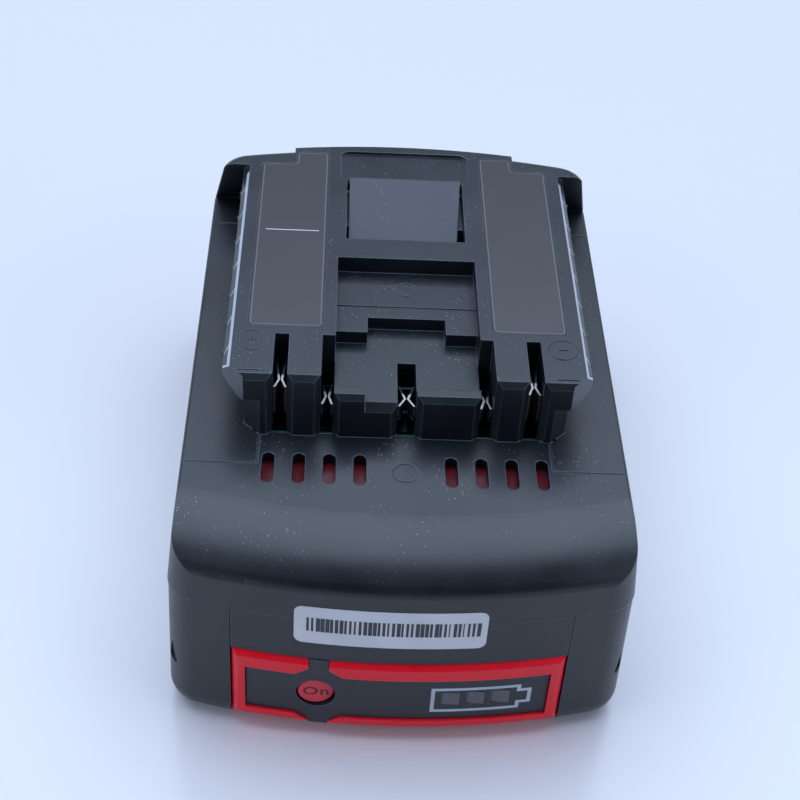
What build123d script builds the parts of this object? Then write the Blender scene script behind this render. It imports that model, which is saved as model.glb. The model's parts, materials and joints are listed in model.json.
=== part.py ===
"""Slide-on power tool battery pack with ten round cells, a sprung latch and a charge gauge.

Millimetres. The pack stands on its floor at z = 0, the gauge faces -Y and the rail block is on top.
The origin is at the middle of the floor.
"""
import os

from build123d import *

os.makedirs("parts", exist_ok=True)

# Cells: the case grows from their size and number
cell_length = 65.2
cell_radius = 9.1
cell_columns = 5
cell_gap = 1.0
cell_pitch_y = 2 * cell_radius + cell_gap
cap_radius = 4.2
cap_height = 0.5

# Walls and clearances
guard_wall = 1.8
tub_wall = 1.5
shell_inset = guard_wall + tub_wall
top_wall = 2.0
floor_thickness = 1.6
guard_floor = 1.0
fit_gap = 0.1
running_gap = 0.3
overcut = 1.0
cutter_reach = 6.0

# Cell holders: their webs set the heights of the two layers
bore_clearance = 0.08
bore_sides = 12
holder_web = 0.32
holder_end_wall = 1.0
holder_edge = 0.4
holder_inner_x = 5.0
holder_corner = 6.5
bore_radius = cell_radius + bore_clearance
cell_low_z = floor_thickness + holder_web + bore_radius
cell_high_z = cell_low_z + 2 * bore_radius + holder_web
holder_low_z = floor_thickness
holder_high_z = cell_high_z + bore_radius + holder_web

# Case envelope
end_room = 9.5
side_room = 5.9
ceiling_gap = 0.12
rail_block_height = 12.6
seam_drop = 12.35
lower_draft = 0.5
shoulder_draft = 1.3
head_draft = 2.4
seam_step = 0.15
face_radius = 137.0
corner_radius = 5.6
bottom_round = 5.0
core_bevel = 1.2
shoulder_edge = 0.6
frame_proud = 0.6
pack_length = (cell_columns - 1) * cell_pitch_y + 2 * (cell_radius + end_room)
pack_width = cell_length + 2 * side_room
bay_ceiling = holder_high_z + ceiling_gap
shoulder_height = bay_ceiling + top_wall
rail_height = shoulder_height + rail_block_height
seam_height = shoulder_height - seam_drop
seam_half_width = pack_width / 2 - lower_draft
shoulder_half_width = seam_half_width - shoulder_draft
head_half_width = shoulder_half_width - head_draft
front_y = -pack_length / 2 + frame_proud
rear_y = pack_length / 2
cell_shift = 0.25
cell_middle_y = (front_y + rear_y) / 2 + cell_shift

# Front roll of the shoulder: two arcs that meet at the joint
roll_start = 12.4
roll_joint = 1.1
roll_joint_drop = 4.27
roll_foot_drop = 6.8
roll_overshoot = 0.05

# Slanted rear and the head that closes the rail
slant_rise = 1.45
slant_shoulder_back = 6.15
head_top_back = 14.7
head_inner_top_back = 21.7
head_inner_foot_back = 14.4
head_round = 2.4
pad_half_width = 20.9
pad_foot_half_width = 22.0
pad_top_back = 13.7
pad_rise = 1.5
pad_proud = 0.35
slant_foot = seam_height + slant_rise
slant_shoulder_y = rear_y - slant_shoulder_back
head_top_y = rear_y - head_top_back
head_inner_top_y = rear_y - head_inner_top_back
head_inner_foot_y = rear_y - head_inner_foot_back
pad_top_y = rear_y - pad_top_back
pad_low_z = slant_foot + pad_rise

# Rail block
rail_run = 83.14
rail_top_half = 29.2
lip_bevel = 1.3
lip_bevel_drop = 1.6
lip_foot_drop = 2.85
lip_under_drop = 5.2
lip_end_setback = 3.6
lip_rear_back = 18.8
neck_inset = 2.3
neck_chamfer = 2.6
tower_front_bevel = 0.9
tower_corner = 1.0
ledge_setback = 1.5
ledge_width = 0.3
ledge_depth = 0.25
rail_front_y = rear_y - rail_run
lip_half = rail_top_half + lip_bevel
lip_under_half = rail_top_half - lip_bevel
lip_rear_y = rear_y - lip_rear_back
neck_half = rail_top_half - neck_inset

# Ribs moulded on the sides of the lips
rib_first_setback = 8.0
rib_pitch = 7.7
rib_count = 7
rib_width = 0.7
rib_proud = 0.25

# Terminal slots: left edge, right edge
slot_length = 11.24
slot_floor_setback = 1.14
slot_edges = [(-22.2, -19.8), (-14.3, -12.12), (-1.58, 1.58), (12.12, 14.3), (19.8, 22.2)]
slot_rear_y = rail_front_y + slot_length
slot_floor_front_y = rail_front_y + slot_floor_setback

# Centre channel
channel_half = 12.12
channel_length = 33.14
channel_drop = 3.2
step_length = 16.24
step_drop = 2.5
notch_half = 6.7
notch_length = 4.0
lip_block_rise = 1.9
lip_block_length = 2.74
lip_block_slope = 1.8
lip_block_inner = 7.0
middle_bevel = 1.3
groove_setback = 10.0
groove_width = 0.35
groove_depth = 0.25
channel_rear_y = rail_front_y + channel_length
channel_floor = rail_height - channel_drop
step_y = rail_front_y + step_length
step_floor = channel_floor - step_drop
notch_y = step_y + notch_length
lip_block_top = step_floor + lip_block_rise
lip_block_rear_y = rail_front_y + lip_block_length
lip_block_foot_y = lip_block_rear_y + lip_block_slope
groove_y = channel_rear_y - groove_setback

# Vents in the shoulder
vent_pitch = 5.0
vent_first_x = 7.5
vent_count = 4
vent_setback = 7.79
vent_length = 7.0
vent_width = 2.1
vent_y = rail_front_y - vent_setback

# Mould marks, polarity discs and moulding lines
shoulder_mark_setback = 8.31
shoulder_mark_radius = 2.23
channel_mark_setback = 4.79
channel_mark_radius = 1.95
mark_line = 0.3
mark_depth = 0.2
disc_inset = 3.3
disc_setback = 9.24
disc_radius = 2.65
sign_length = 1.7
sign_width = 0.32
insert_setback = 6.96
insert_line_width = 0.3
insert_line_depth = 0.2
side_line_back = 23.3
shoulder_mark_y = rail_front_y - shoulder_mark_setback
channel_mark_y = channel_rear_y - channel_mark_setback
disc_x = rail_top_half - disc_inset
disc_y = rail_front_y + disc_setback
insert_line_y = rail_front_y - insert_setback
insert_line_x = neck_half - neck_chamfer
side_line_y = rear_y - side_line_back

# Rail labels
label_inner_x = 14.3
label_step_x = 20.5
label_setback = 13.24
label_rear_back = 20.6
label_step_length = 4.0
label_corner = 0.9
label_thickness = 0.15
label_recess = 0.2
label_outer_x = neck_half
label_front_y = rail_front_y + label_setback
label_rear_y = rear_y - label_rear_back
label_step_y = label_rear_y + label_step_length

# Interior bays
bay_corner = 2.0
bay_roll_setback = 7.5
bay_roll_drop = 9.4
bay_roll_foot_setback = 3.8
bay_slant_foot_back = 2.6
bay_slant_top_back = 7.5
bay_half_width = seam_half_width - seam_step - shell_inset - fit_gap / 2
bay_roll_y = front_y + bay_roll_setback
bay_roll_z = shoulder_height - bay_roll_drop
bay_roll_foot_y = front_y + bay_roll_foot_setback
bay_slant_foot_y = rear_y - bay_slant_foot_back
bay_slant_top_y = rear_y - bay_slant_top_back
board_bay_half = 25.4
board_bay_setback = 0.54
board_bay_length = 37.0
bay_overlap = 0.2
component_bay_drop = 7.8
latch_bay_half = 14.5
latch_bay_drop = 2.2
latch_bay_rear_top_back = 15.6
latch_bay_rear_foot_back = 8.1
board_bay_front_y = rail_front_y + board_bay_setback
board_bay_rear_y = board_bay_front_y + board_bay_length
component_bay_top = rail_height - component_bay_drop
latch_bay_top = rail_height - latch_bay_drop
latch_bay_front_y = board_bay_rear_y - bay_overlap
latch_bay_rear_top_y = rear_y - latch_bay_rear_top_back
latch_bay_rear_foot_y = rear_y - latch_bay_rear_foot_back

# Latch window and pocket
window_half = 10.75
window_length = 18.5
window_rear_back = 25.8
pocket_half = 12.0
pocket_length = 10.0
pocket_depth = 0.6
pocket_corner = 1.6
window_rear_y = rear_y - window_rear_back
window_front_y = window_rear_y - window_length
pocket_rear_y = window_rear_y + pocket_length

# Gauge frame, its opening, and the aprons above it and at the rear
frame_half = 27.5
frame_side = 2.3
frame_bottom = 3.2
frame_height = 16.3
frame_upper = 3.5
frame_bevel = 1.0
frame_sweep = 6.0
guard_gap = 0.15
flare_reach = 2.4
flare_rise = 1.6
window_below = 0.7
window_above = 1.4
rear_apron_bottom = 6.0
apron_overlap = 0.9
apron_half = frame_half + fit_gap / 2
guard_front_half = frame_half + guard_gap
tub_middle_half = frame_half
tub_lip_top = frame_bottom - 2 * fit_gap
frame_top = frame_bottom + frame_height
opening_half = frame_half - frame_side
opening_bottom = frame_bottom + frame_side
opening_top = frame_top - frame_upper
tub_window_low = opening_bottom - window_below
tub_window_high = opening_top + window_above

# Drop-shaped scoops in the front corners of the guards, each with a blind hole
scoop_turn = 30.0
scoop_z = 12.2
scoop_radius = 1.3
scoop_rise = 4.0
scoop_depth = 0.6
scoop_hole_radius = 0.7
scoop_hole_depth = 0.8

# Gauge panel, button and lights
panel_recess = 0.5
panel_thickness = 1.6
panel_leg_size = 1.6
panel_leg_x = (-18.0, 2.0, 21.0)
button_x = -13.5
gap_left_reach = 1.3
gap_right_reach = 2.1
gauge_rise = 0.15
gauge_button_radius = 3.1
gauge_button_recess = 0.5
gauge_button_flange = 3.8
flange_thickness = 0.8
guide_x = (8.83, 12.98, 17.15)
guide_width = 2.95
guide_height = 2.9
board_setback = 5.5
board_thickness = 1.2
gauge_board_left = -19.5
gauge_board_right = 22.5
board_below = 0.9
board_above = 1.0
window_room = 1.0
window_reach = 2.5
led_width = 1.6
led_height = 0.8
led_depth = 0.6
switch_size = 4.6
plunger_radius = 1.5
plunger_depth = 0.3
gauge_travel = 0.5
button_edge = 0.3
button_gap = 0.2
gap_left_x = button_x - gap_left_reach
gap_right_x = button_x + gap_right_reach
gauge_z = (opening_bottom + opening_top) / 2 + gauge_rise
board_front_y = front_y + board_setback
gauge_board_low = opening_bottom - board_below
gauge_board_high = opening_top + board_above
gauge_window_left = gauge_board_left - window_room
gauge_window_right = gauge_board_right + window_room
switch_depth = plunger_depth + gauge_travel + fit_gap

# Barcode sticker
sticker_left_x = -17.3
sticker_right_x = 13.5
sticker_drop = 5.35
sticker_height = 8.5
sticker_corner = 1.4
sticker_thickness = 0.12
sticker_low_z = seam_height - sticker_drop
sticker_high_z = sticker_low_z + sticker_height

# Nickel links between the cells and their insulating sheets
link_slot = 1.4
link_slot_gap = 4.0
link_thickness = 0.15
link_end = 5.66
link_width = 9.0
insulator_thickness = 0.2
insulator_margin = 2.7
link_height = cell_high_z - cell_low_z + 2 * link_end

# Main board and terminals
pcb_thickness = 1.6
board_lift = 0.2
board_margin = 0.3
board_insulator_thickness = 0.2
fork_thickness = 0.36
fork_base_thickness = 0.5
power_fork_drop = 4.0
signal_fork_drop = 7.4
power_fork_gap = 0.7
signal_fork_gap = 4.0
fork_pinch_setback = 4.14
fork_setback = 2.24
fork_pinch_gap = 0.12
fork_lower_height = 2.4
fork_split = 0.8
carrier_depth = 2.0
pcb_bottom = bay_ceiling + board_lift
pcb_top = pcb_bottom + pcb_thickness
board_rear_y = board_bay_rear_y - board_margin
power_fork_top = rail_height - power_fork_drop
signal_fork_top = rail_height - signal_fork_drop
power_fork_rear_y = slot_rear_y - power_fork_gap
signal_fork_rear_y = slot_rear_y - signal_fork_gap
fork_pinch_y = rail_front_y + fork_pinch_setback
fork_front_y = rail_front_y + fork_setback
fork_lower_top = pcb_top + fork_lower_height
fork_upper_foot = fork_lower_top + fork_split
carrier_top = component_bay_top - 2 * fit_gap
carrier_front_y = slot_rear_y + fit_gap
carrier_rear_y = slot_rear_y + carrier_depth

# Screws
screw_inset = 3.15
screw_front_setback = 15.4
screw_rear_back = 19.0
column_radius = 1.7
screw_shank_radius = 1.0
screw_hole_radius = 1.1
screw_head_radius = 2.0
screw_head_height = 1.3
screw_recess_radius = 2.3
screw_recess_top = 3.6
screw_grip = 4.55
boss_drop = 1.0
drive_radius = 0.9
drive_depth = 0.7
board_screw_x = 18.0
board_screw_radius = 0.9
board_screw_head_radius = 1.7
board_screw_head = 1.0
board_screw_depth = 5.0
screw_x = seam_half_width - screw_inset
screw_y = (front_y + screw_front_setback, rear_y - screw_rear_back)
screw_length = seam_height + screw_grip - screw_recess_top
boss_top = bay_ceiling - boss_drop

# Latch springs
spring_x = 6.0
spring_setback = 12.6
spring_pocket_radius = 3.2
spring_pocket_drop = 3.6
spring_radius = 2.3
spring_wire = 0.5
spring_turns = 4
spring_pocket_top = rail_height - spring_pocket_drop

# Latch
latch_travel = 3.0
latch_side_gap = 0.45
latch_rear_gap = 0.4
latch_nose_drop = 5.1
latch_peak_rise = 1.4
latch_peak_back = 1.2
latch_edge = 0.4
latch_taper = 0.9
latch_recess_left_x = -6.3
latch_recess_right_x = 5.65
latch_recess_length = 2.0
latch_recess_depth = 0.4
latch_flange = 2.4
latch_flange_setback = 7.0
latch_flange_thickness = 1.2
arm_half = 7.0
arm_drop = 8.0
latch_half = window_half - latch_side_gap
latch_front_y = window_front_y + running_gap
latch_rear_y = window_rear_y - latch_rear_gap
latch_nose_z = rail_height - latch_nose_drop
latch_peak_z = rail_height + latch_peak_rise
latch_peak_y = latch_rear_y - latch_peak_back
latch_recess_rear_y = latch_front_y + latch_recess_length
latch_flange_front_y = latch_front_y + latch_flange_setback
latch_flange_top = latch_bay_top - running_gap
arm_top_z = rail_height - arm_drop
spring_y = latch_front_y + spring_setback

# Spring seat
seat_front_reach = 7.6
seat_rear_reach = 7.4
seat_side = 6.5
seat_thickness = 0.9
seat_stud_radius = 1.6
seat_stud_height = 1.5
seat_front_y = spring_y - seat_front_reach
seat_rear_y = spring_y + seat_rear_reach
seat_half = spring_x + seat_side
seat_low_z = holder_high_z + fit_gap
seat_high_z = seat_low_z + seat_thickness
latch_low_z = seat_high_z + latch_travel + running_gap

# Release button and its window
release_half = 12.0
release_drop = 4.3
release_height = 8.7
release_thickness = 3.0
release_proud = 0.4
button_window_gap = 0.4
grip_count = 4
grip_pitch = 1.7
grip_depth = 0.35
grip_width = 0.7
release_high_z = rail_height - release_drop
release_low_z = release_high_z - release_height
button_window_half = release_half + button_window_gap
button_window_high = release_high_z + button_window_gap
button_window_low = release_low_z - latch_travel - 2 * running_gap


def bow(half_width, radius):
    """How far a bowed end falls back at half_width from its middle."""
    return radius - (radius**2 - half_width**2) ** 0.5


def case_plan(half_width, front, rear, corner, radius=face_radius):
    """Plan outline with two bowed ends, straight sides and four rounded corners."""
    drop = bow(half_width, radius)
    with BuildSketch() as plan:
        with BuildLine():
            ThreePointArc((-half_width, front + drop), (0, front), (half_width, front + drop))
            Line((half_width, front + drop), (half_width, rear - drop))
            ThreePointArc((half_width, rear - drop), (0, rear), (-half_width, rear - drop))
            Line((-half_width, rear - drop), (-half_width, front + drop))
        make_face()
        fillet(plan.vertices(), corner)
    return plan.sketch


def end_plan(half_width, front, rear, radius):
    """Plan outline with two bowed ends and straight sides that lie outside the case."""
    drop = bow(half_width, radius)
    with BuildSketch() as plan:
        with BuildLine():
            ThreePointArc((-half_width, front + drop), (0, front), (half_width, front + drop))
            Line((half_width, front + drop), (half_width, rear - drop))
            ThreePointArc((half_width, rear - drop), (0, rear), (-half_width, rear - drop))
            Line((-half_width, rear - drop), (-half_width, front + drop))
        make_face()
    return plan.sketch


def drafted_section(low_half, low_z, high_half, high_z):
    """Section across the case: a trapezoid that narrows upwards."""
    with BuildSketch() as section:
        with BuildLine():
            Polyline(
                (-low_half, low_z),
                (low_half, low_z),
                (high_half, high_z),
                (-high_half, high_z),
                close=True,
            )
        make_face()
    return section.sketch


def end_band(half_width, face_y, outer, inner):
    """Plan outline of a strip that follows a bowed end, from outer to inner behind its face."""
    inward = 1 if face_y < 0 else -1
    outer_middle = face_y + inward * outer
    inner_middle = face_y + inward * inner
    outer_end = outer_middle + inward * bow(half_width, face_radius - outer)
    inner_end = inner_middle + inward * bow(half_width, face_radius - inner)
    with BuildSketch() as band:
        with BuildLine():
            ThreePointArc((-half_width, outer_end), (0, outer_middle), (half_width, outer_end))
            Line((half_width, outer_end), (half_width, inner_end))
            ThreePointArc((half_width, inner_end), (0, inner_middle), (-half_width, inner_end))
            Line((-half_width, inner_end), (-half_width, outer_end))
        make_face()
    return band.sketch


def pad_plan(half_width, middle_y, inner_y):
    """Plan outline of the rear pad: straight inside, bowed outside."""
    end_y = middle_y - bow(half_width, face_radius)
    with BuildSketch() as pad:
        with BuildLine():
            ThreePointArc((-half_width, end_y), (0, middle_y), (half_width, end_y))
            Polyline((half_width, end_y), (half_width, inner_y), (-half_width, inner_y), (-half_width, end_y))
        make_face()
    return pad.sketch


def label_outline(side, inset):
    """Outline of the label on one side of the rail block, moved in by inset."""
    inner, outer = side * (label_inner_x + inset), side * (label_outer_x - inset)
    step = side * (label_step_x - inset)
    front, rear, step_rear = label_front_y + inset, label_rear_y - inset, label_step_y - inset
    with BuildSketch() as label:
        with BuildLine():
            Polyline(
                (inner, front),
                (outer, front),
                (outer, rear),
                (step, rear),
                (step, step_rear),
                (inner, step_rear),
                close=True,
            )
        make_face()
        fillet(label.vertices(), label_corner)
    return label.sketch


def box_between(low, high, mode=Mode.ADD):
    """Box from its lowest corner to its highest corner."""
    size = [b - a for a, b in zip(low, high)]
    middle = [(a + b) / 2 for a, b in zip(low, high)]
    with Locations(tuple(middle)):
        Box(*size, mode=mode)


def slanted_inner_y(z):
    """Place of the inner face of the slanted rear wall of the latch bay at height z."""
    share = (z - bay_ceiling) / (latch_bay_top - bay_ceiling)
    return latch_bay_rear_foot_y + share * (latch_bay_rear_top_y - latch_bay_rear_foot_y)


def release_outer_y(z):
    """Place of the outer face of the release button at height z."""
    return pad_y(z) + release_proud


def release_inner_y(z):
    """Place of the inner face of the release button at height z."""
    return release_outer_y(z) - release_thickness


def pad_y(z):
    """Place of the outer face of the rear pad at height z, on the middle line."""
    share = (z - slant_foot) / (rail_height - slant_foot)
    return rear_y + share * (pad_top_y - rear_y)


# Plans shared by the shells
lower_seam_half = seam_half_width - seam_step
lower_plan = end_plan(pack_width, front_y, rear_y, face_radius)
core_plan = end_plan(pack_width, front_y + guard_wall, rear_y - guard_wall, face_radius - guard_wall)
bay_plan = case_plan(
    bay_half_width, front_y + shell_inset, rear_y - shell_inset, bay_corner, face_radius - shell_inset
)
slant_half = seam_half_width - (seam_half_width - shoulder_half_width) * (
    (slant_foot - seam_height) / (shoulder_height - seam_height)
)
pad_low_plan = pad_plan(pad_foot_half_width, pad_y(pad_low_z) + pad_proud, head_inner_foot_y)
pad_top_plan = pad_plan(pad_half_width, pad_top_y, head_inner_top_y)
front_apron = end_band(apron_half, front_y, fit_gap / 2, guard_wall - fit_gap)
rear_apron = end_band(apron_half, rear_y, fit_gap / 2, guard_wall - fit_gap)
frame_plan = end_band(frame_half, front_y, -frame_proud, guard_wall - fit_gap)
panel_back = panel_recess - frame_proud + panel_thickness
panel_plan = end_band(opening_half - fit_gap, front_y, panel_recess - frame_proud, panel_back)
sticker_plan = end_band(opening_half, front_y, -sticker_thickness, -fit_gap / 10)
label_recesses = {side: label_outline(side, 0) for side in (-1, 1)}
label_sheets = {side: label_outline(side, fit_gap) for side in (-1, 1)}
upper_plans = [
    (seam_height, case_plan(seam_half_width, front_y, rear_y, corner_radius)),
    (slant_foot, case_plan(slant_half, front_y, rear_y, corner_radius)),
    (shoulder_height, case_plan(shoulder_half_width, front_y, slant_shoulder_y, corner_radius)),
    (rail_height, case_plan(head_half_width, front_y, head_top_y, corner_radius)),
]

# Tool body: the space inside the shells, from the floor to the shoulder wall
with BuildPart() as cell_bay:
    with BuildSketch(Plane.XY.offset(floor_thickness)):
        add(bay_plan)
    extrude(amount=bay_ceiling - floor_thickness)
    with BuildSketch(Plane.YZ):
        with BuildLine():
            Polyline(
                (bay_slant_foot_y, slant_foot),
                (bay_slant_top_y, bay_ceiling + fit_gap),
                (bay_slant_foot_y + cutter_reach, bay_ceiling + fit_gap),
                (bay_slant_foot_y + cutter_reach, slant_foot),
                close=True,
            )
        make_face()
    revolve(axis=Axis((0, rear_y - face_radius, 0), (0, 0, 1)), mode=Mode.SUBTRACT)
    with BuildSketch(Plane.YZ):
        with BuildLine():
            Polyline(
                (bay_roll_foot_y, bay_roll_z),
                (bay_roll_y, bay_ceiling + fit_gap),
                (bay_roll_foot_y - cutter_reach, bay_ceiling + fit_gap),
                (bay_roll_foot_y - cutter_reach, bay_roll_z),
                close=True,
            )
        make_face()
    revolve(axis=Axis((0, front_y + face_radius, 0), (0, 0, 1)), mode=Mode.SUBTRACT)

# Tool body: everything outside the rolled front edge of the shoulder
with BuildPart() as roll_cutter:
    with BuildSketch(Plane.YZ):
        with BuildLine():
            broad = TangentArc(
                (front_y + roll_start, shoulder_height),
                (front_y + roll_joint, shoulder_height - roll_joint_drop),
                tangent=(-1, 0),
            )
            TangentArc(
                (front_y + roll_joint, shoulder_height - roll_joint_drop),
                (front_y - roll_overshoot, shoulder_height - roll_foot_drop),
                tangent=broad % 1,
            )
            Polyline(
                (front_y - roll_overshoot, shoulder_height - roll_foot_drop),
                (front_y - cutter_reach, shoulder_height - roll_foot_drop),
                (front_y - cutter_reach, rail_height + overcut),
                (front_y + roll_start, rail_height + overcut),
                (front_y + roll_start, shoulder_height),
            )
        make_face()
    revolve(axis=Axis((0, front_y + face_radius, 0), (0, 0, 1)))

# Tool body: the whole lower case, rounded underneath
with BuildPart() as lower_case:
    with BuildSketch(Plane.XZ):
        add(drafted_section(pack_width / 2, 0, lower_seam_half, seam_height))
    extrude(amount=pack_length, both=True)
    with BuildSketch():
        add(lower_plan)
    extrude(amount=seam_height, mode=Mode.INTERSECT)
    upright = lower_case.edges().filter_by(lambda e: e.bounding_box().size.Z > seam_height - overcut)
    fillet(upright, corner_radius)
    fillet(lower_case.faces().sort_by(Axis.Z)[0].edges(), bottom_round)

# Tool body: the lower case without the thickness of the guards
with BuildPart() as lower_core:
    core_floor_half = pack_width / 2 - guard_wall
    core_seam_half = lower_seam_half - guard_wall
    with BuildSketch(Plane.XZ):
        add(drafted_section(core_floor_half, guard_floor, core_seam_half, seam_height))
    extrude(amount=pack_length, both=True)
    with BuildSketch(Plane.XY.offset(guard_floor)):
        add(core_plan)
    extrude(amount=seam_height - guard_floor, mode=Mode.INTERSECT)
    core_height = seam_height - guard_floor
    upright = lower_core.edges().filter_by(lambda e: e.bounding_box().size.Z > core_height - overcut)
    fillet(upright, corner_radius - guard_wall)
    chamfer(lower_core.faces().sort_by(Axis.Z)[0].edges(), core_bevel)

# Top housing: shoulder, head, rail block and aprons
with BuildPart() as top_housing:
    for height, plan in upper_plans:
        with BuildSketch(Plane.XY.offset(height)):
            add(plan)
    loft(ruled=True)

    # The head stands on the slanted rear, and its inner face leans forward
    with BuildSketch(Plane.YZ):
        with BuildLine():
            Polyline(
                (front_y - overcut, shoulder_height),
                (head_inner_foot_y, shoulder_height),
                (head_inner_top_y, rail_height),
                (head_inner_top_y, rail_height + overcut),
                (front_y - overcut, rail_height + overcut),
                close=True,
            )
        make_face()
    extrude(amount=pack_width, both=True, mode=Mode.SUBTRACT)
    head_sides = top_housing.edges().filter_by(lambda e: abs(e.center().X) > pad_foot_half_width)
    head_sides = head_sides.filter_by(lambda e: e.bounding_box().min.Z > rail_height - fit_gap)
    fillet(head_sides, head_round)
    shoulder_sides = top_housing.edges().filter_by(Axis.Y)
    shoulder_sides = shoulder_sides.filter_by(lambda e: abs(e.center().Z - shoulder_height) < fit_gap)
    fillet(shoulder_sides, shoulder_edge)
    add(roll_cutter.part, mode=Mode.SUBTRACT)

    # Raised pad round the release button
    with BuildSketch(Plane.XY.offset(pad_low_z)):
        add(pad_low_plan)
    with BuildSketch(Plane.XY.offset(rail_height)):
        add(pad_top_plan)
    loft(ruled=True)

    # Rail block: neck and the two lips that the tool's rails hold
    with BuildSketch(Plane.XY.offset(shoulder_height - fit_gap)):
        with BuildLine():
            Polyline(
                (-neck_half, head_inner_foot_y),
                (-neck_half, rail_front_y + neck_chamfer),
                (-neck_half + neck_chamfer, rail_front_y),
                (neck_half - neck_chamfer, rail_front_y),
                (neck_half, rail_front_y + neck_chamfer),
                (neck_half, head_inner_foot_y),
                close=True,
            )
        make_face()
    extrude(amount=rail_height - lip_under_drop - shoulder_height + fit_gap)
    with BuildSketch(Plane.XZ.offset(-lip_rear_y)):
        with BuildLine():
            Polyline(
                (-rail_top_half, rail_height),
                (-lip_half, rail_height - lip_bevel_drop),
                (-lip_half, rail_height - lip_foot_drop),
                (-lip_under_half, rail_height - lip_under_drop),
                (lip_under_half, rail_height - lip_under_drop),
                (lip_half, rail_height - lip_foot_drop),
                (lip_half, rail_height - lip_bevel_drop),
                (rail_top_half, rail_height),
                close=True,
            )
        make_face()
    extrude(amount=lip_rear_y - rail_front_y)
    with BuildSketch(Plane.XY.offset(rail_height - lip_under_drop)):
        for side in (-1, 1):
            with BuildLine():
                Polyline(
                    (side * (lip_half + overcut), rail_front_y + lip_end_setback + overcut),
                    (side * (lip_half - lip_end_setback), rail_front_y),
                    (side * (lip_half - lip_end_setback), rail_front_y - overcut),
                    (side * (lip_half + overcut), rail_front_y - overcut),
                    close=True,
                )
            make_face()
    extrude(amount=lip_under_drop + overcut, mode=Mode.SUBTRACT)
    for side in (-1, 1):
        near_x, far_x = sorted((side * rail_top_half, side * (lip_half + rib_proud)))
        for number in range(rib_count):
            rib_y = rail_front_y + rib_first_setback + number * rib_pitch
            box_between(
                (near_x, rib_y - rib_width / 2, rail_height - lip_foot_drop),
                (far_x, rib_y + rib_width / 2, rail_height - lip_bevel_drop),
            )
    block_front = top_housing.edges().filter_by(Axis.X).filter_by(
        lambda e: abs(e.center().Y - rail_front_y) < fit_gap and abs(e.center().Z - rail_height) < fit_gap
    )
    chamfer(block_front, tower_front_bevel)

    # Space inside: cells, circuit board, latch and the release button
    add(cell_bay.part, mode=Mode.SUBTRACT)
    box_between(
        (-board_bay_half, board_bay_front_y, bay_ceiling - fit_gap),
        (board_bay_half, board_bay_rear_y, shoulder_height),
        mode=Mode.SUBTRACT,
    )
    box_between(
        (-board_bay_half, slot_rear_y, bay_ceiling - fit_gap),
        (board_bay_half, board_bay_rear_y, component_bay_top),
        mode=Mode.SUBTRACT,
    )
    with BuildSketch(Plane.YZ):
        with BuildLine():
            Polyline(
                (latch_bay_front_y, bay_ceiling - fit_gap),
                (latch_bay_front_y, latch_bay_top),
                (latch_bay_rear_top_y, latch_bay_top),
                (latch_bay_rear_foot_y, bay_ceiling - fit_gap),
                close=True,
            )
        make_face()
    extrude(amount=latch_bay_half, both=True, mode=Mode.SUBTRACT)
    box_between(
        (-window_half, window_front_y, latch_bay_top - overcut),
        (window_half, window_rear_y, rail_height + overcut),
        mode=Mode.SUBTRACT,
    )
    box_between(
        (-button_window_half, slanted_inner_y(button_window_high) - overcut, button_window_low),
        (button_window_half, rear_y, button_window_high),
        mode=Mode.SUBTRACT,
    )
    with BuildSketch(Plane.XY.offset(rail_height - pocket_depth)):
        with Locations((0, (window_rear_y + pocket_rear_y) / 2)):
            RectangleRounded(2 * pocket_half, pocket_rear_y - window_rear_y, pocket_corner)
    extrude(amount=pocket_depth + overcut, mode=Mode.SUBTRACT)

    # Centre channel with its step, notch and raised front lips
    box_between(
        (-channel_half, rail_front_y - overcut, channel_floor),
        (channel_half, channel_rear_y, rail_height + overcut),
        mode=Mode.SUBTRACT,
    )
    box_between(
        (-channel_half, rail_front_y - overcut, step_floor),
        (channel_half, step_y, channel_floor + overcut),
        mode=Mode.SUBTRACT,
    )
    box_between(
        (-notch_half, step_y - overcut, step_floor),
        (notch_half, notch_y, channel_floor + overcut),
        mode=Mode.SUBTRACT,
    )
    for near_x, far_x in ((-channel_half, -lip_block_inner), (0, channel_half)):
        with BuildSketch(Plane.YZ.offset(near_x)):
            with BuildLine():
                Polyline(
                    (lip_block_foot_y, step_floor),
                    (lip_block_foot_y, step_floor - overcut),
                    (rail_front_y, step_floor - overcut),
                    (rail_front_y, lip_block_top - tower_front_bevel),
                    (rail_front_y + tower_front_bevel, lip_block_top),
                    (lip_block_rear_y, lip_block_top),
                )
                TangentArc((lip_block_foot_y, step_floor), (lip_block_rear_y, lip_block_top), tangent=(-1, 0))
            make_face()
        extrude(amount=far_x - near_x)
    box_between(
        (-channel_half, groove_y, channel_floor - groove_depth),
        (channel_half, groove_y + groove_width, channel_floor + overcut),
        mode=Mode.SUBTRACT,
    )

    # Terminal slots, open at the front and down to the circuit board
    for left, right in slot_edges:
        box_between(
            (left, rail_front_y - overcut, shoulder_height),
            (right, slot_rear_y, rail_height + overcut),
            mode=Mode.SUBTRACT,
        )
        box_between(
            (left, slot_floor_front_y, bay_ceiling - fit_gap),
            (right, slot_rear_y, shoulder_height + fit_gap),
            mode=Mode.SUBTRACT,
        )

    # The block between the raised lips has a deeper front bevel
    with BuildSketch(Plane.YZ.offset(-lip_block_inner)):
        with BuildLine():
            Polyline(
                (rail_front_y - overcut, step_floor - middle_bevel - overcut),
                (rail_front_y + middle_bevel, step_floor),
                (rail_front_y + middle_bevel, step_floor + overcut),
                (rail_front_y - overcut, step_floor + overcut),
                close=True,
            )
        make_face()
    extrude(amount=lip_block_inner, mode=Mode.SUBTRACT)

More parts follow.
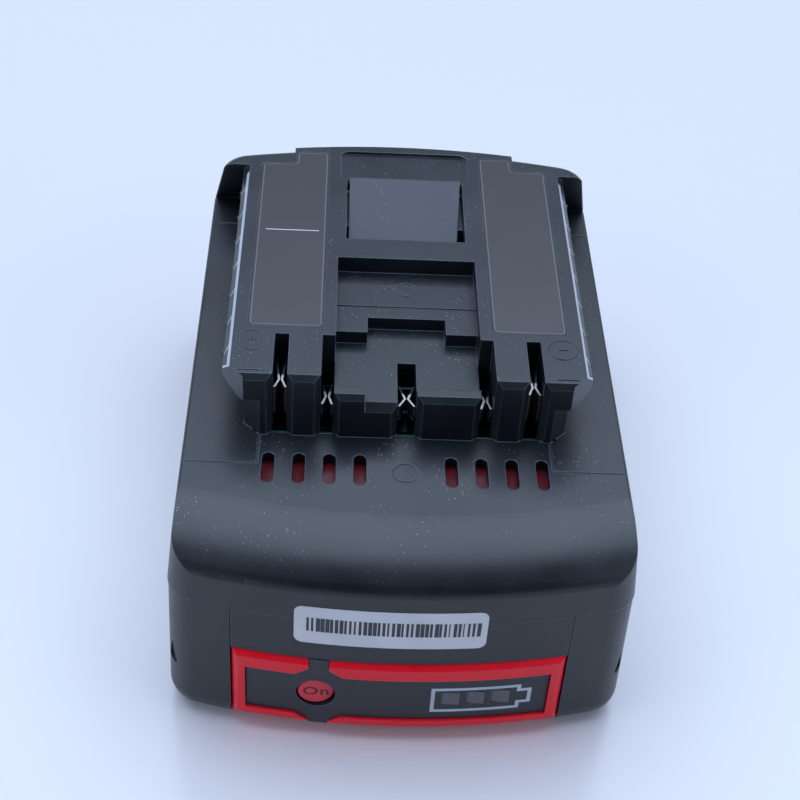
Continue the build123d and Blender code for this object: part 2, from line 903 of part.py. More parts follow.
    # Corners of the towers beside each slot, and a moulded line behind the outer front edges
    with BuildSketch(Plane.XY.offset(shoulder_height)):
        for left, right in slot_edges:
            with BuildLine():
                Polyline(
                    (left - tower_corner - overcut, rail_front_y - overcut),
                    (left, rail_front_y + tower_corner),
                    (right, rail_front_y + tower_corner),
                    (right + tower_corner + overcut, rail_front_y - overcut),
                    close=True,
                )
            make_face()
    extrude(amount=rail_block_height + overcut, mode=Mode.SUBTRACT)
    for side in (-1, 1):
        near_x, far_x = sorted((side * (neck_half - neck_chamfer), side * lip_under_half))
        box_between(
            (near_x, rail_front_y + ledge_setback, rail_height - ledge_depth),
            (far_x, rail_front_y + ledge_setback + ledge_width, rail_height + fit_gap),
            mode=Mode.SUBTRACT,
        )

    # Vents, two rows of four
    for side in (-1, 1):
        for number in range(vent_count):
            with BuildSketch(Plane.XY.offset(bay_ceiling - overcut)):
                with Locations((side * (vent_first_x + number * vent_pitch), vent_y)):
                    SlotOverall(vent_length, vent_width, rotation=90)
            extrude(amount=top_wall + 2 * overcut, mode=Mode.SUBTRACT)

    # Mould marks, polarity discs and signs
    for mark_y, mark_radius, level in (
        (shoulder_mark_y, shoulder_mark_radius, shoulder_height),
        (channel_mark_y, channel_mark_radius, channel_floor),
    ):
        with BuildSketch(Plane.XY.offset(level - mark_depth)):
            with Locations((0, mark_y)):
                Circle(mark_radius)
                Circle(mark_radius - mark_line, mode=Mode.SUBTRACT)
        extrude(amount=mark_depth + fit_gap, mode=Mode.SUBTRACT)
    for side in (-1, 1):
        with BuildSketch(Plane.XY.offset(rail_height - mark_depth)):
            with Locations((side * disc_x, disc_y)):
                Circle(disc_radius)
                Circle(disc_radius - mark_line, mode=Mode.SUBTRACT)
                Rectangle(sign_length, sign_width)
                if side < 0:
                    Rectangle(sign_width, sign_length)
        extrude(amount=mark_depth + fit_gap, mode=Mode.SUBTRACT)

    # Insert lines moulded into the shoulder beside the rail block
    for side in (-1, 1):
        near_x, far_x = sorted((side * insert_line_x, side * (shoulder_half_width + overcut)))
        box_between(
            (near_x, insert_line_y - insert_line_width / 2, shoulder_height - insert_line_depth),
            (far_x, insert_line_y + insert_line_width / 2, shoulder_height + fit_gap),
            mode=Mode.SUBTRACT,
        )
        inner_x = side * insert_line_x
        box_between(
            (inner_x - insert_line_width / 2, insert_line_y, shoulder_height - insert_line_depth),
            (inner_x + insert_line_width / 2, rail_front_y, shoulder_height + fit_gap),
            mode=Mode.SUBTRACT,
        )
        near_x, far_x = sorted((side * neck_half, side * (shoulder_half_width + overcut)))
        box_between(
            (near_x, side_line_y - insert_line_width / 2, shoulder_height - insert_line_depth),
            (far_x, side_line_y + insert_line_width / 2, shoulder_height + fit_gap),
            mode=Mode.SUBTRACT,
        )

    # Label recesses
    for side in (-1, 1):
        with BuildSketch(Plane.XY.offset(rail_height - label_recess)):
            add(label_recesses[side])
        extrude(amount=label_recess + fit_gap, mode=Mode.SUBTRACT)

    # Front apron between the seam and the gauge frame, and the one at the rear
    with BuildSketch(Plane.XY.offset(frame_top + fit_gap)):
        add(front_apron)
    extrude(amount=seam_height - frame_top + apron_overlap)
    with BuildSketch(Plane.XY.offset(rear_apron_bottom)):
        add(rear_apron)
    extrude(amount=seam_height - rear_apron_bottom + apron_overlap)

    # Screw bosses against the side walls
    for side in (-1, 1):
        for place in screw_y:
            with BuildSketch(Plane.XY.offset(seam_height)):
                with Locations((side * screw_x, place)):
                    Circle(column_radius)
            extrude(amount=boss_top - seam_height)
            with BuildSketch(Plane.XY.offset(seam_height)):
                with Locations((side * screw_x, place)):
                    Circle(screw_shank_radius)
            extrude(amount=boss_top - seam_height - overcut, mode=Mode.SUBTRACT)
top_housing.part.label = "top_housing"
export_step(top_housing.part, "parts/top_housing.step")

# Lower housing: red tub inside the guards, its floor and front lip showing between them
with BuildPart() as lower_housing:
    add(lower_case.part)
    box_between(
        (-tub_middle_half, front_y - overcut, -overcut),
        (tub_middle_half, rear_y + overcut, tub_lip_top),
        mode=Mode.INTERSECT,
    )
    add(lower_core.part)
    add(cell_bay.part, mode=Mode.SUBTRACT)
    box_between(
        (gauge_window_left, front_y - overcut, tub_window_low),
        (gauge_window_right, front_y + shell_inset + window_reach, tub_window_high),
        mode=Mode.SUBTRACT,
    )
    for side in (-1, 1):
        for place in screw_y:
            with BuildSketch(Plane.XY.offset(floor_thickness - fit_gap)):
                with Locations((side * screw_x, place)):
                    Circle(column_radius)
            extrude(amount=seam_height - floor_thickness)
            with BuildSketch(Plane.XY.offset(guard_floor)):
                with Locations((side * screw_x, place)):
                    Circle(screw_hole_radius)
            extrude(amount=seam_height, mode=Mode.SUBTRACT)
            with BuildSketch():
                with Locations((side * screw_x, place)):
                    Circle(screw_head_radius + fit_gap)
            extrude(amount=screw_recess_top, mode=Mode.SUBTRACT)
lower_housing.part.label = "lower_housing"
export_step(lower_housing.part, "parts/lower_housing.step")

# Side guards: black shells round the sides and corners of the tub
for name, side in (("left", -1), ("right", 1)):
    near_x, far_x = sorted((side * guard_front_half, side * pack_width))
    with BuildPart() as side_guard:
        add(lower_case.part)
        add(lower_core.part, mode=Mode.SUBTRACT)
        box_between(
            (near_x, front_y - overcut, -overcut),
            (far_x, rear_y + overcut, seam_height + overcut),
            mode=Mode.INTERSECT,
        )
        for place in screw_y:
            with BuildSketch():
                with Locations((side * screw_x, place)):
                    Circle(screw_recess_radius)
            extrude(amount=screw_recess_top, mode=Mode.SUBTRACT)
            with BuildSketch():
                with Locations((side * screw_x, place)):
                    Circle(column_radius + fit_gap)
            extrude(amount=seam_height + overcut, mode=Mode.SUBTRACT)

        # Scoop in the front corner, cut square to the rounded surface
        corner_x = side * (pack_width / 2 - lower_draft / 2 - corner_radius)
        corner_y = front_y + bow(corner_x, face_radius - corner_radius) + corner_radius
        outward = Vector(side, 0, 0).rotate(Axis.Z, -side * scoop_turn)
        scoop_floor = Vector(corner_x, corner_y, scoop_z) + outward * (corner_radius - scoop_depth)
        scoop_plane = Plane(origin=scoop_floor, x_dir=(0, 0, 1), z_dir=outward)
        tangent_x = scoop_radius**2 / scoop_rise
        tangent_y = (scoop_radius**2 - tangent_x**2) ** 0.5
        with BuildSketch(scoop_plane):
            Circle(scoop_radius)
            with BuildLine():
                Polyline((tangent_x, -tangent_y), (scoop_rise, 0), (tangent_x, tangent_y), close=True)
            make_face()
        extrude(amount=scoop_depth + overcut, mode=Mode.SUBTRACT)
        with BuildSketch(scoop_plane):
            Circle(scoop_hole_radius)
        extrude(amount=-scoop_hole_depth, mode=Mode.SUBTRACT)
    side_guard.part.label = f"side_guard_{name}"
    export_step(side_guard.part, f"parts/side_guard_{name}.step")

# Gauge frame: red bevelled surround, split above and below the button
with BuildPart() as gauge_frame:
    with BuildSketch(Plane.XY.offset(frame_bottom)):
        add(frame_plan)
    extrude(amount=frame_top - frame_bottom)
    front_edges = gauge_frame.faces().sort_by(Axis.Y)[0].edges()
    chamfer(front_edges, frame_bevel)
    box_between(
        (-opening_half, front_y - overcut - frame_proud, opening_bottom),
        (opening_half, front_y + guard_wall + frame_sweep, opening_top),
        mode=Mode.SUBTRACT,
    )
    with BuildSketch(Plane.XZ.offset(-front_y - frame_sweep)):
        for level, direction in ((opening_top, 1), (opening_bottom, -1)):
            rim = frame_top if direction > 0 else frame_bottom
            with BuildLine():
                Polyline(
                    (gap_left_x - flare_reach, level - direction * fit_gap),
                    (gap_left_x, level + direction * flare_rise),
                    (gap_left_x, rim + direction * overcut),
                    (gap_right_x, rim + direction * overcut),
                    (gap_right_x, level + direction * flare_rise),
                    (gap_right_x + flare_reach, level - direction * fit_gap),
                    close=True,
                )
            make_face()
    extrude(amount=2 * frame_sweep + frame_proud, mode=Mode.SUBTRACT)
gauge_frame.part.label = "gauge_frame"
export_step(gauge_frame.part, "parts/gauge_frame.step")

# Tool body: the bowed layer that the gauge panel is cut from
with BuildPart() as panel_band:
    with BuildSketch(Plane.XY.offset(frame_bottom)):
        add(panel_plan)
    extrude(amount=frame_top - frame_bottom)

# Tool body: the tongues of the gauge panel that fill the gaps of the frame
with BuildPart() as panel_tongue:
    with BuildSketch(Plane.XZ.offset(-front_y - frame_sweep)):
        for level, direction in ((opening_top, 1), (opening_bottom, -1)):
            rim = frame_top - fit_gap if direction > 0 else frame_bottom + fit_gap
            with BuildLine():
                Polyline(
                    (gap_left_x - flare_reach + fit_gap, level - direction * overcut),
                    (gap_left_x - flare_reach + fit_gap, level - direction * fit_gap),
                    (gap_left_x + fit_gap, level + direction * flare_rise),
                    (gap_left_x + fit_gap, rim),
                    (gap_right_x - fit_gap, rim),
                    (gap_right_x - fit_gap, level + direction * flare_rise),
                    (gap_right_x + flare_reach - fit_gap, level - direction * fit_gap),
                    (gap_right_x + flare_reach - fit_gap, level - direction * overcut),
                    close=True,
                )
            make_face()
    extrude(amount=2 * frame_sweep + frame_proud)
    add(panel_band.part, mode=Mode.INTERSECT)

# Gauge panel: black plate in the frame, with tongues through its gaps and legs to the board
with BuildPart() as gauge_panel:
    with BuildSketch(Plane.XY.offset(opening_bottom + fit_gap)):
        add(panel_plan)
    extrude(amount=opening_top - opening_bottom - 2 * fit_gap)
    add(panel_tongue.part)
    for x in panel_leg_x:
        leg_start = front_y + panel_back - panel_thickness / 2 + bow(abs(x), face_radius)
        for z in (tub_window_low + panel_leg_size, tub_window_high - 2 * panel_leg_size):
            box_between(
                (x - panel_leg_size / 2, leg_start, z),
                (x + panel_leg_size / 2, board_front_y, z + panel_leg_size),
            )
    with BuildSketch(Plane.XZ.offset(-board_front_y)):
        with Locations((button_x, gauge_z)):
            Circle(gauge_button_radius + button_gap)
        for x in guide_x:
            with Locations((x, gauge_z)):
                Rectangle(guide_width + fit_gap, guide_height + fit_gap)
    extrude(amount=frame_sweep * 2, mode=Mode.SUBTRACT)
gauge_panel.part.label = "gauge_panel"
export_step(gauge_panel.part, "parts/gauge_panel.step")

# Gauge button: round face in the panel, held by a flange behind it
button_face_y = front_y + panel_recess - frame_proud + gauge_button_recess + bow(abs(button_x), face_radius)
flange_front_y = front_y + panel_back + bow(abs(button_x) + gauge_button_flange, face_radius) + fit_gap
with BuildPart() as gauge_button:
    with BuildSketch(Plane.XZ.offset(-flange_front_y)):
        with Locations((button_x, gauge_z)):
            Circle(gauge_button_radius)
    extrude(amount=flange_front_y - button_face_y)
    face_rim = gauge_button.faces().sort_by(Axis.Y)[0].edges()
    chamfer(face_rim, button_edge)
    with BuildSketch(Plane.XZ.offset(-flange_front_y - flange_thickness)):
        with Locations((button_x, gauge_z)):
            Circle(gauge_button_flange)
    extrude(amount=flange_thickness)
gauge_button.part.label = "gauge_button"
export_step(gauge_button.part, "parts/gauge_button.step")

# Tact switch on the gauge board, and its plunger against the button
flange_rear_y = flange_front_y + flange_thickness
switch_front_y = board_front_y - switch_depth
with BuildPart() as switch_plunger:
    with BuildSketch(Plane.XZ.offset(-switch_front_y - plunger_depth)):
        with Locations((button_x, gauge_z)):
            Circle(plunger_radius)
    extrude(amount=switch_front_y + plunger_depth - flange_rear_y)
switch_plunger.part.label = "switch_plunger"
export_step(switch_plunger.part, "parts/switch_plunger.step")

with BuildPart() as gauge_switch:
    box_between(
        (button_x - switch_size / 2, switch_front_y, gauge_z - switch_size / 2),
        (button_x + switch_size / 2, board_front_y, gauge_z + switch_size / 2),
    )
    chamfer(gauge_switch.edges().filter_by(Axis.Y), fit_gap * 2)
    with BuildSketch(Plane.XZ.offset(-board_front_y + fit_gap)):
        with Locations((button_x, gauge_z)):
            Circle(plunger_radius + fit_gap)
    extrude(amount=switch_depth + overcut, mode=Mode.SUBTRACT)
gauge_switch.part.label = "gauge_switch"
export_step(gauge_switch.part, "parts/gauge_switch.step")

# Gauge board with its three light-emitting diodes and the light guides in front of them
with BuildPart() as gauge_board:
    box_between(
        (gauge_board_left, board_front_y, gauge_board_low),
        (gauge_board_right, board_front_y + board_thickness, gauge_board_high),
    )
    fillet(gauge_board.edges().filter_by(Axis.Y), board_thickness)
gauge_board.part.label = "gauge_board"
export_step(gauge_board.part, "parts/gauge_board.step")

for number, x in enumerate(guide_x, start=1):
    with BuildPart() as led:
        box_between(
            (x - led_width / 2, board_front_y - led_depth, gauge_z - led_height / 2),
            (x + led_width / 2, board_front_y, gauge_z + led_height / 2),
        )
        chamfer(led.faces().sort_by(Axis.Y)[0].edges(), fit_gap)
    led.part.label = f"led_{number}"
    export_step(led.part, f"parts/led_{number}.step")

    guide_face_y = front_y + panel_recess - frame_proud + bow(x, face_radius)
    with BuildPart() as light_guide:
        box_between(
            (x - guide_width / 2, guide_face_y, gauge_z - guide_height / 2),
            (x + guide_width / 2, board_front_y - led_depth - fit_gap, gauge_z + guide_height / 2),
        )
        fillet(light_guide.edges().filter_by(Axis.Y), fit_gap)
    light_guide.part.label = f"light_guide_{number}"
    export_step(light_guide.part, f"parts/light_guide_{number}.step")

# Tool body: the bowed layer that the barcode sticker is cut from
with BuildPart() as sticker_band:
    with BuildSketch(Plane.XY.offset(sticker_low_z)):
        add(sticker_plan)
    extrude(amount=sticker_high_z - sticker_low_z)

# Barcode sticker on the front face, bent to its bow
sticker_half = (sticker_right_x - sticker_left_x) / 2
sticker_middle_x = (sticker_right_x + sticker_left_x) / 2
with BuildPart() as barcode_sticker:
    with BuildSketch(Plane.XZ.offset(-front_y - frame_sweep)):
        with Locations((sticker_middle_x, (sticker_low_z + sticker_high_z) / 2)):
            RectangleRounded(2 * sticker_half, sticker_high_z - sticker_low_z, sticker_corner)
    extrude(amount=2 * frame_sweep)
    add(sticker_band.part, mode=Mode.INTERSECT)
barcode_sticker.part.label = "barcode_sticker"
export_step(barcode_sticker.part, "parts/barcode_sticker.step")

# Labels in the recesses beside the latch
for name, side in (("left", -1), ("right", 1)):
    with BuildPart() as rail_label:
        with BuildSketch(Plane.XY.offset(rail_height - label_recess)):
            add(label_sheets[side])
        extrude(amount=label_thickness)
    rail_label.part.label = f"rail_label_{name}"
    export_step(rail_label.part, f"parts/rail_label_{name}.step")

# Cells: steel cans across the pack, with a raised cap at the positive end
for column in range(cell_columns):
    for row, height in enumerate((cell_low_z, cell_high_z)):
        number = column * 2 + row + 1
        facing = 1 if column % 2 == 0 else -1
        place_y = cell_middle_y + (column - (cell_columns - 1) / 2) * cell_pitch_y
        end_x = facing * cell_length / 2
        with BuildPart() as cell:
            with BuildSketch(Plane.XY):
                with BuildLine():
                    Polyline(
                        (-end_x, 0),
                        (-end_x, cell_radius),
                        (end_x - facing * cap_height, cell_radius),
                        (end_x - facing * cap_height, cap_radius),
                        (end_x, cap_radius),
                        (end_x, 0),
                        close=True,
                    )
                make_face()
            revolve(axis=Axis.X)
        placed = cell.part.moved(Location((0, place_y, height)))
        placed.label = f"cell_{number}"
        export_step(placed, f"parts/cell_{number}.step")

# Cell holders: two red blocks of cradles, each with flats all round that grip its cell
column_y = [cell_middle_y + (n - (cell_columns - 1) / 2) * cell_pitch_y for n in range(cell_columns)]
holder_front_y = column_y[0] - cell_radius - holder_end_wall
holder_rear_y = column_y[-1] + cell_radius + holder_end_wall
web_y = [(a + b) / 2 for a, b in zip(column_y[:-1], column_y[1:])]
for name, side in (("left", -1), ("right", 1)):
    with BuildPart() as cell_holder:
        near_x, far_x = sorted((side * holder_inner_x, side * cell_length / 2))
        with BuildSketch(Plane.YZ.offset(near_x)) as holder_side:
            with Locations(((holder_front_y + holder_rear_y) / 2, (holder_low_z + holder_high_z) / 2)):
                Rectangle(holder_rear_y - holder_front_y, holder_high_z - holder_low_z)
            chamfer(holder_side.vertices(), holder_corner)
            for y in column_y:
                with Locations((y, cell_low_z), (y, cell_high_z)):
                    RegularPolygon(
                        bore_radius,
                        side_count=bore_sides,
                        major_radius=False,
                        rotation=180 / bore_sides,
                        mode=Mode.SUBTRACT,
                    )
        extrude(amount=far_x - near_x)
        with BuildSketch(Plane.XY.offset(holder_high_z - board_screw_depth)):
            with Locations((side * board_screw_x, web_y[1])):
                Circle(board_screw_radius)
        extrude(amount=board_screw_depth + overcut, mode=Mode.SUBTRACT)
        corner_edges = cell_holder.edges().filter_by(Axis.Z)
        corner_edges = corner_edges.filter_by(lambda e: abs(abs(e.center().X) - cell_length / 2) < fit_gap)
        corner_edges = corner_edges.filter_by(
            lambda e: min(abs(e.center().Y - holder_front_y), abs(e.center().Y - holder_rear_y)) < fit_gap
        )
        chamfer(corner_edges, holder_edge)
    cell_holder.part.label = f"cell_holder_{name}"
    export_step(cell_holder.part, f"parts/cell_holder_{name}.step")

# Nickel links welded to the cell ends: five pairs in series
link_groups = {"left": ((0, 1), (2, 3), (4, 4)), "right": ((0, 0), (1, 2), (3, 4))}
for name, side in (("left", -1), ("right", 1)):
    face_x = cell_length / 2 + fit_gap / 2
    for number, (first, last) in enumerate(link_groups[name], start=1):
        near_x, far_x = sorted((side * face_x, side * (face_x + link_thickness)))
        middle_z = (cell_low_z + cell_high_z) / 2
        with BuildPart() as link:
            for column in sorted({first, last}):
                box_between(
                    (near_x, column_y[column] - link_width / 2, middle_z - link_height / 2),
                    (far_x, column_y[column] + link_width / 2, middle_z + link_height / 2),
                )
                box_between(
                    (near_x, column_y[column] - link_slot / 2, middle_z - link_height / 2 - overcut),
                    (far_x, column_y[column] + link_slot / 2, middle_z - link_slot_gap),
                    mode=Mode.SUBTRACT,
                )
                box_between(
                    (near_x, column_y[column] - link_slot / 2, middle_z + link_slot_gap),
                    (far_x, column_y[column] + link_slot / 2, middle_z + link_height / 2 + overcut),
                    mode=Mode.SUBTRACT,
                )
            if last > first:
                for z in (cell_low_z, cell_high_z):
                    box_between(
                        (near_x, column_y[first] + link_slot, z - link_slot),
                        (far_x, column_y[last] - link_slot, z + link_slot),
                    )
        link.part.label = f"link_{name}_{number}"
        export_step(link.part, f"parts/link_{name}_{number}.step")

    sheet_x = face_x + link_thickness + fit_gap / 2
    near_x, far_x = sorted((side * sheet_x, side * (sheet_x + insulator_thickness)))
    with BuildPart() as link_insulator:
        with BuildSketch(Plane.YZ.offset(near_x)):
            with Locations(((holder_front_y + holder_rear_y) / 2, (holder_low_z + holder_high_z) / 2)):
                RectangleRounded(
                    holder_rear_y - holder_front_y - 2 * holder_corner,
                    holder_high_z - holder_low_z - 2 * insulator_margin,
                    holder_end_wall,
                )
        extrude(amount=far_x - near_x)
    link_insulator.part.label = f"link_insulator_{name}"
    export_step(link_insulator.part, f"parts/link_insulator_{name}.step")

# Main circuit board under the rail block, on its insulating sheet
with BuildPart() as circuit_board:
    box_between(
        (-board_bay_half + board_margin, board_bay_front_y + board_margin, pcb_bottom),
        (board_bay_half - board_margin, board_rear_y, pcb_top),
    )
    fillet(circuit_board.edges().filter_by(Axis.Z), pcb_thickness)
    with BuildSketch(Plane.XY.offset(pcb_bottom)):
        with Locations((-board_screw_x, web_y[1]), (board_screw_x, web_y[1])):
            Circle(board_screw_radius + fit_gap)
    extrude(amount=pcb_thickness, mode=Mode.SUBTRACT)
circuit_board.part.label = "circuit_board"
export_step(circuit_board.part, "parts/circuit_board.step")

with BuildPart() as board_insulator:
    box_between(
        (
            -board_bay_half + board_margin,
            board_bay_front_y + board_margin,
            pcb_bottom - board_insulator_thickness,
        ),
        (board_bay_half - board_margin, board_rear_y, pcb_bottom),
    )
    with BuildSketch(Plane.XY.offset(pcb_bottom - board_insulator_thickness)):
        with Locations((-board_screw_x, web_y[1]), (board_screw_x, web_y[1])):
            Circle(board_screw_radius + fit_gap)
    extrude(amount=board_insulator_thickness, mode=Mode.SUBTRACT)
board_insulator.part.label = "board_insulator"
export_step(board_insulator.part, "parts/board_insulator.step")

with BuildPart() as board_screws:
    for side in (-1, 1):
        with BuildSketch(Plane.XY.offset(pcb_top)):
            with Locations((side * board_screw_x, web_y[1])):
                Circle(board_screw_head_radius)
        extrude(amount=board_screw_head)
        with BuildSketch(Plane.XY.offset(pcb_top + board_screw_head)):
            with Locations((side * board_screw_x, web_y[1])):
                RegularPolygon(drive_radius, side_count=6)
        extrude(amount=-board_screw_head / 2, mode=Mode.SUBTRACT)
        with BuildSketch(Plane.XY.offset(pcb_top)):
            with Locations((side * board_screw_x, web_y[1])):
                Circle(board_screw_radius)
        extrude(amount=-(pcb_top - holder_high_z + board_screw_depth - fit_gap))
board_screws.part.label = "board_screws"
export_step(board_screws.part, "parts/board_screws.step")

# Terminal carrier: moulded bar on the board behind the slots
with BuildPart() as terminal_carrier:
    box_between(
        (-board_bay_half + board_margin, carrier_front_y, pcb_top),
        (board_bay_half - board_margin, carrier_rear_y, carrier_top),
    )
terminal_carrier.part.label = "terminal_carrier"
export_step(terminal_carrier.part, "parts/terminal_carrier.step")


def fork_arm(middle_x, side, spread, rear, pinch, front):
    """Plan outline of one spring arm: it leans in to the pinch and flares out at the mouth."""
    half = fork_thickness / 2
    with BuildSketch() as arm:
        with BuildLine():
            Polyline(
                (middle_x + side * (spread - half), rear),
                (middle_x + side * fork_pinch_gap / 2, pinch),
                (middle_x + side * (spread - half), front),
                (middle_x + side * (spread + half), front),
                (middle_x + side * (fork_pinch_gap / 2 + fork_thickness), pinch),
                (middle_x + side * (spread + half), rear),
                close=True,
            )
        make_face()
    return arm.sketch


# Sprung fork contacts, one in each slot: two for power at the outside, three for signals
fork_names = (
    "terminal_plus",
    "terminal_signal_1",
    "terminal_signal_2",
    "terminal_signal_3",
    "terminal_minus",
)
for name, (left, right) in zip(fork_names, slot_edges):
    is_power = name in ("terminal_plus", "terminal_minus")
    fork_top = power_fork_top if is_power else signal_fork_top
    fork_rear_y = power_fork_rear_y if is_power else signal_fork_rear_y
    middle_x = (left + right) / 2
    spread = (right - left) / 2 - fork_thickness / 2 - fit_gap
    arms = [
        fork_arm(middle_x, side, spread, fork_rear_y, fork_pinch_y, fork_front_y) for side in (-1, 1)
    ]
    with BuildPart() as fork:
        box_between(
            (left + fit_gap, slot_floor_front_y + fit_gap, pcb_top),
            (right - fit_gap, slot_rear_y - fit_gap, pcb_top + fork_base_thickness),
        )
        for low, high in ((pcb_top, fork_lower_top), (fork_upper_foot, fork_top)):
            with BuildSketch(Plane.XY.offset(low)):
                for arm in arms:
                    add(arm)
            extrude(amount=high - low)
        box_between(
            (left + fit_gap, fork_rear_y - fit_gap, pcb_top),
            (right - fit_gap, fork_rear_y + fork_thickness, fork_top - fork_base_thickness),
        )
    fork.part.label = name
    export_step(fork.part, f"parts/{name}.step")


def ramp_z(y):
    """Height of the latch ramp at y, between its nose and its peak."""
    share = (y - latch_front_y) / (latch_peak_y - latch_front_y)
    return latch_nose_z + share * (latch_peak_z - latch_nose_z)


# Release latch: hollow wedge with side flanges and an arm that runs back to the button
with BuildPart() as release_latch:
    with BuildSketch(Plane.YZ.offset(-latch_half)):
        with BuildLine():
            Polyline(
                (latch_front_y, latch_low_z),
                (latch_front_y, latch_nose_z),
                (latch_peak_y, latch_peak_z),
                (latch_rear_y, latch_peak_z - latch_edge),
                (latch_rear_y, latch_low_z),
                close=True,
            )
        make_face()
    extrude(amount=2 * latch_half)
    with BuildSketch(Plane.XY.offset(latch_low_z)):
        with BuildLine():
            Polyline(
                (latch_half - latch_taper, latch_front_y),
                (latch_half, latch_rear_y),
                (latch_half + overcut, latch_rear_y),
                (latch_half + overcut, latch_front_y),
                close=True,
            )
        make_face()
    extrude(amount=latch_peak_z - latch_low_z, mode=Mode.SUBTRACT)
    box_between(
        (-latch_half - latch_flange, latch_flange_front_y, latch_flange_top - latch_flange_thickness),
        (latch_half + latch_flange, latch_rear_y, latch_flange_top),
    )
    box_between(
        (-arm_half, latch_rear_y - overcut, latch_low_z),
        (arm_half, release_inner_y(arm_top_z), arm_top_z),
    )
    box_between(
        (latch_recess_left_x, latch_front_y - overcut, ramp_z(latch_front_y) - latch_recess_depth),
        (latch_recess_right_x, latch_recess_rear_y, latch_peak_z),
        mode=Mode.SUBTRACT,
    )
    for side in (-1, 1):
        with BuildSketch(Plane.XY.offset(latch_low_z)):
            with Locations((side * spring_x, spring_y)):
                Circle(spring_pocket_radius)
        extrude(amount=spring_pocket_top - latch_low_z, mode=Mode.SUBTRACT)
release_latch.part.label = "release_latch"
export_step(release_latch.part, "parts/release_latch.step")

# Release button: red slanted thumb plate clipped to the latch arm
with BuildPart() as release_button:
    with BuildSketch(Plane.YZ.offset(-release_half)):
        with BuildLine():
            Polyline(
                (release_inner_y(release_low_z), release_low_z),
                (release_outer_y(release_low_z), release_low_z),
                (release_outer_y(release_high_z), release_high_z),
                (release_inner_y(release_high_z), release_high_z),
                close=True,
            )
        make_face()
    extrude(amount=2 * release_half)
    for number in range(grip_count):
        z = (release_low_z + release_high_z) / 2 + (number - (grip_count - 1) / 2) * grip_pitch
        box_between(
            (-release_half + grip_pitch, release_outer_y(z) - grip_depth, z - grip_width / 2),
            (release_half - grip_pitch, release_outer_y(z) + overcut, z + grip_width / 2),
            mode=Mode.SUBTRACT,
        )
release_button.part.label = "release_button"
export_step(release_button.part, "parts/release_button.step")

# Spring seat on the cell holders, with a stud inside each spring
with BuildPart() as latch_base:
    box_between((-seat_half, seat_front_y, seat_low_z), (seat_half, seat_rear_y, seat_high_z))
    fillet(latch_base.edges().filter_by(Axis.Z), seat_stud_radius)
    for side in (-1, 1):
        with BuildSketch(Plane.XY.offset(seat_high_z)):
            with Locations((side * spring_x, spring_y)):
                Circle(seat_stud_radius)
        extrude(amount=seat_stud_height)
latch_base.part.label = "latch_base"
export_step(latch_base.part, "parts/latch_base.step")

# Compression springs between the seat and the latch pockets
spring_length = spring_pocket_top - seat_high_z - spring_wire
for name, side in (("left", -1), ("right", 1)):
    with BuildPart() as latch_spring:
        with BuildLine() as coil:
            Helix(
                pitch=spring_length / spring_turns,
                height=spring_length,
                radius=spring_radius,
                center=(side * spring_x, spring_y, seat_high_z + spring_wire / 2),
            )
        with BuildSketch(Plane(origin=coil.line @ 0, z_dir=coil.line % 0)):
            RegularPolygon(spring_wire / 2, side_count=4)
        sweep(path=coil.line, is_frenet=True)
    latch_spring.part.label = f"latch_spring_{name}"
    export_step(latch_spring.part, f"parts/latch_spring_{name}.step")

# Case screws, driven from below at the four corners
with BuildPart() as housing_screws:
    for side in (-1, 1):
        for place in screw_y:
            with BuildSketch(Plane.XY.offset(screw_recess_top - screw_head_height)):
                with Locations((side * screw_x, place)):
                    Circle(screw_head_radius)
            extrude(amount=screw_head_height)
            with BuildSketch(Plane.XY.offset(screw_recess_top - screw_head_height)):
                with Locations((side * screw_x, place)):
                    RegularPolygon(drive_radius, side_count=6)
            extrude(amount=drive_depth, mode=Mode.SUBTRACT)
            with BuildSketch(Plane.XY.offset(screw_recess_top)):
                with Locations((side * screw_x, place)):
                    Circle(screw_shank_radius)
            extrude(amount=screw_length)
housing_screws.part.label = "housing_screws"
export_step(housing_screws.part, "parts/housing_screws.step")
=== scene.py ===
"""Finishes, printed marks, studio and camera of a slide-on tool battery, round its fixed frame.

Every place is in metres in the frame's own axes: the gauge faces -Y and the rail block is on top.
The sizes of a finish are in millimetres.
"""
import json
import logging
import math
from collections.abc import Callable
from dataclasses import dataclass
from enum import Enum
from functools import partial

import bmesh
import bpy
from mathutils import Matrix, Vector


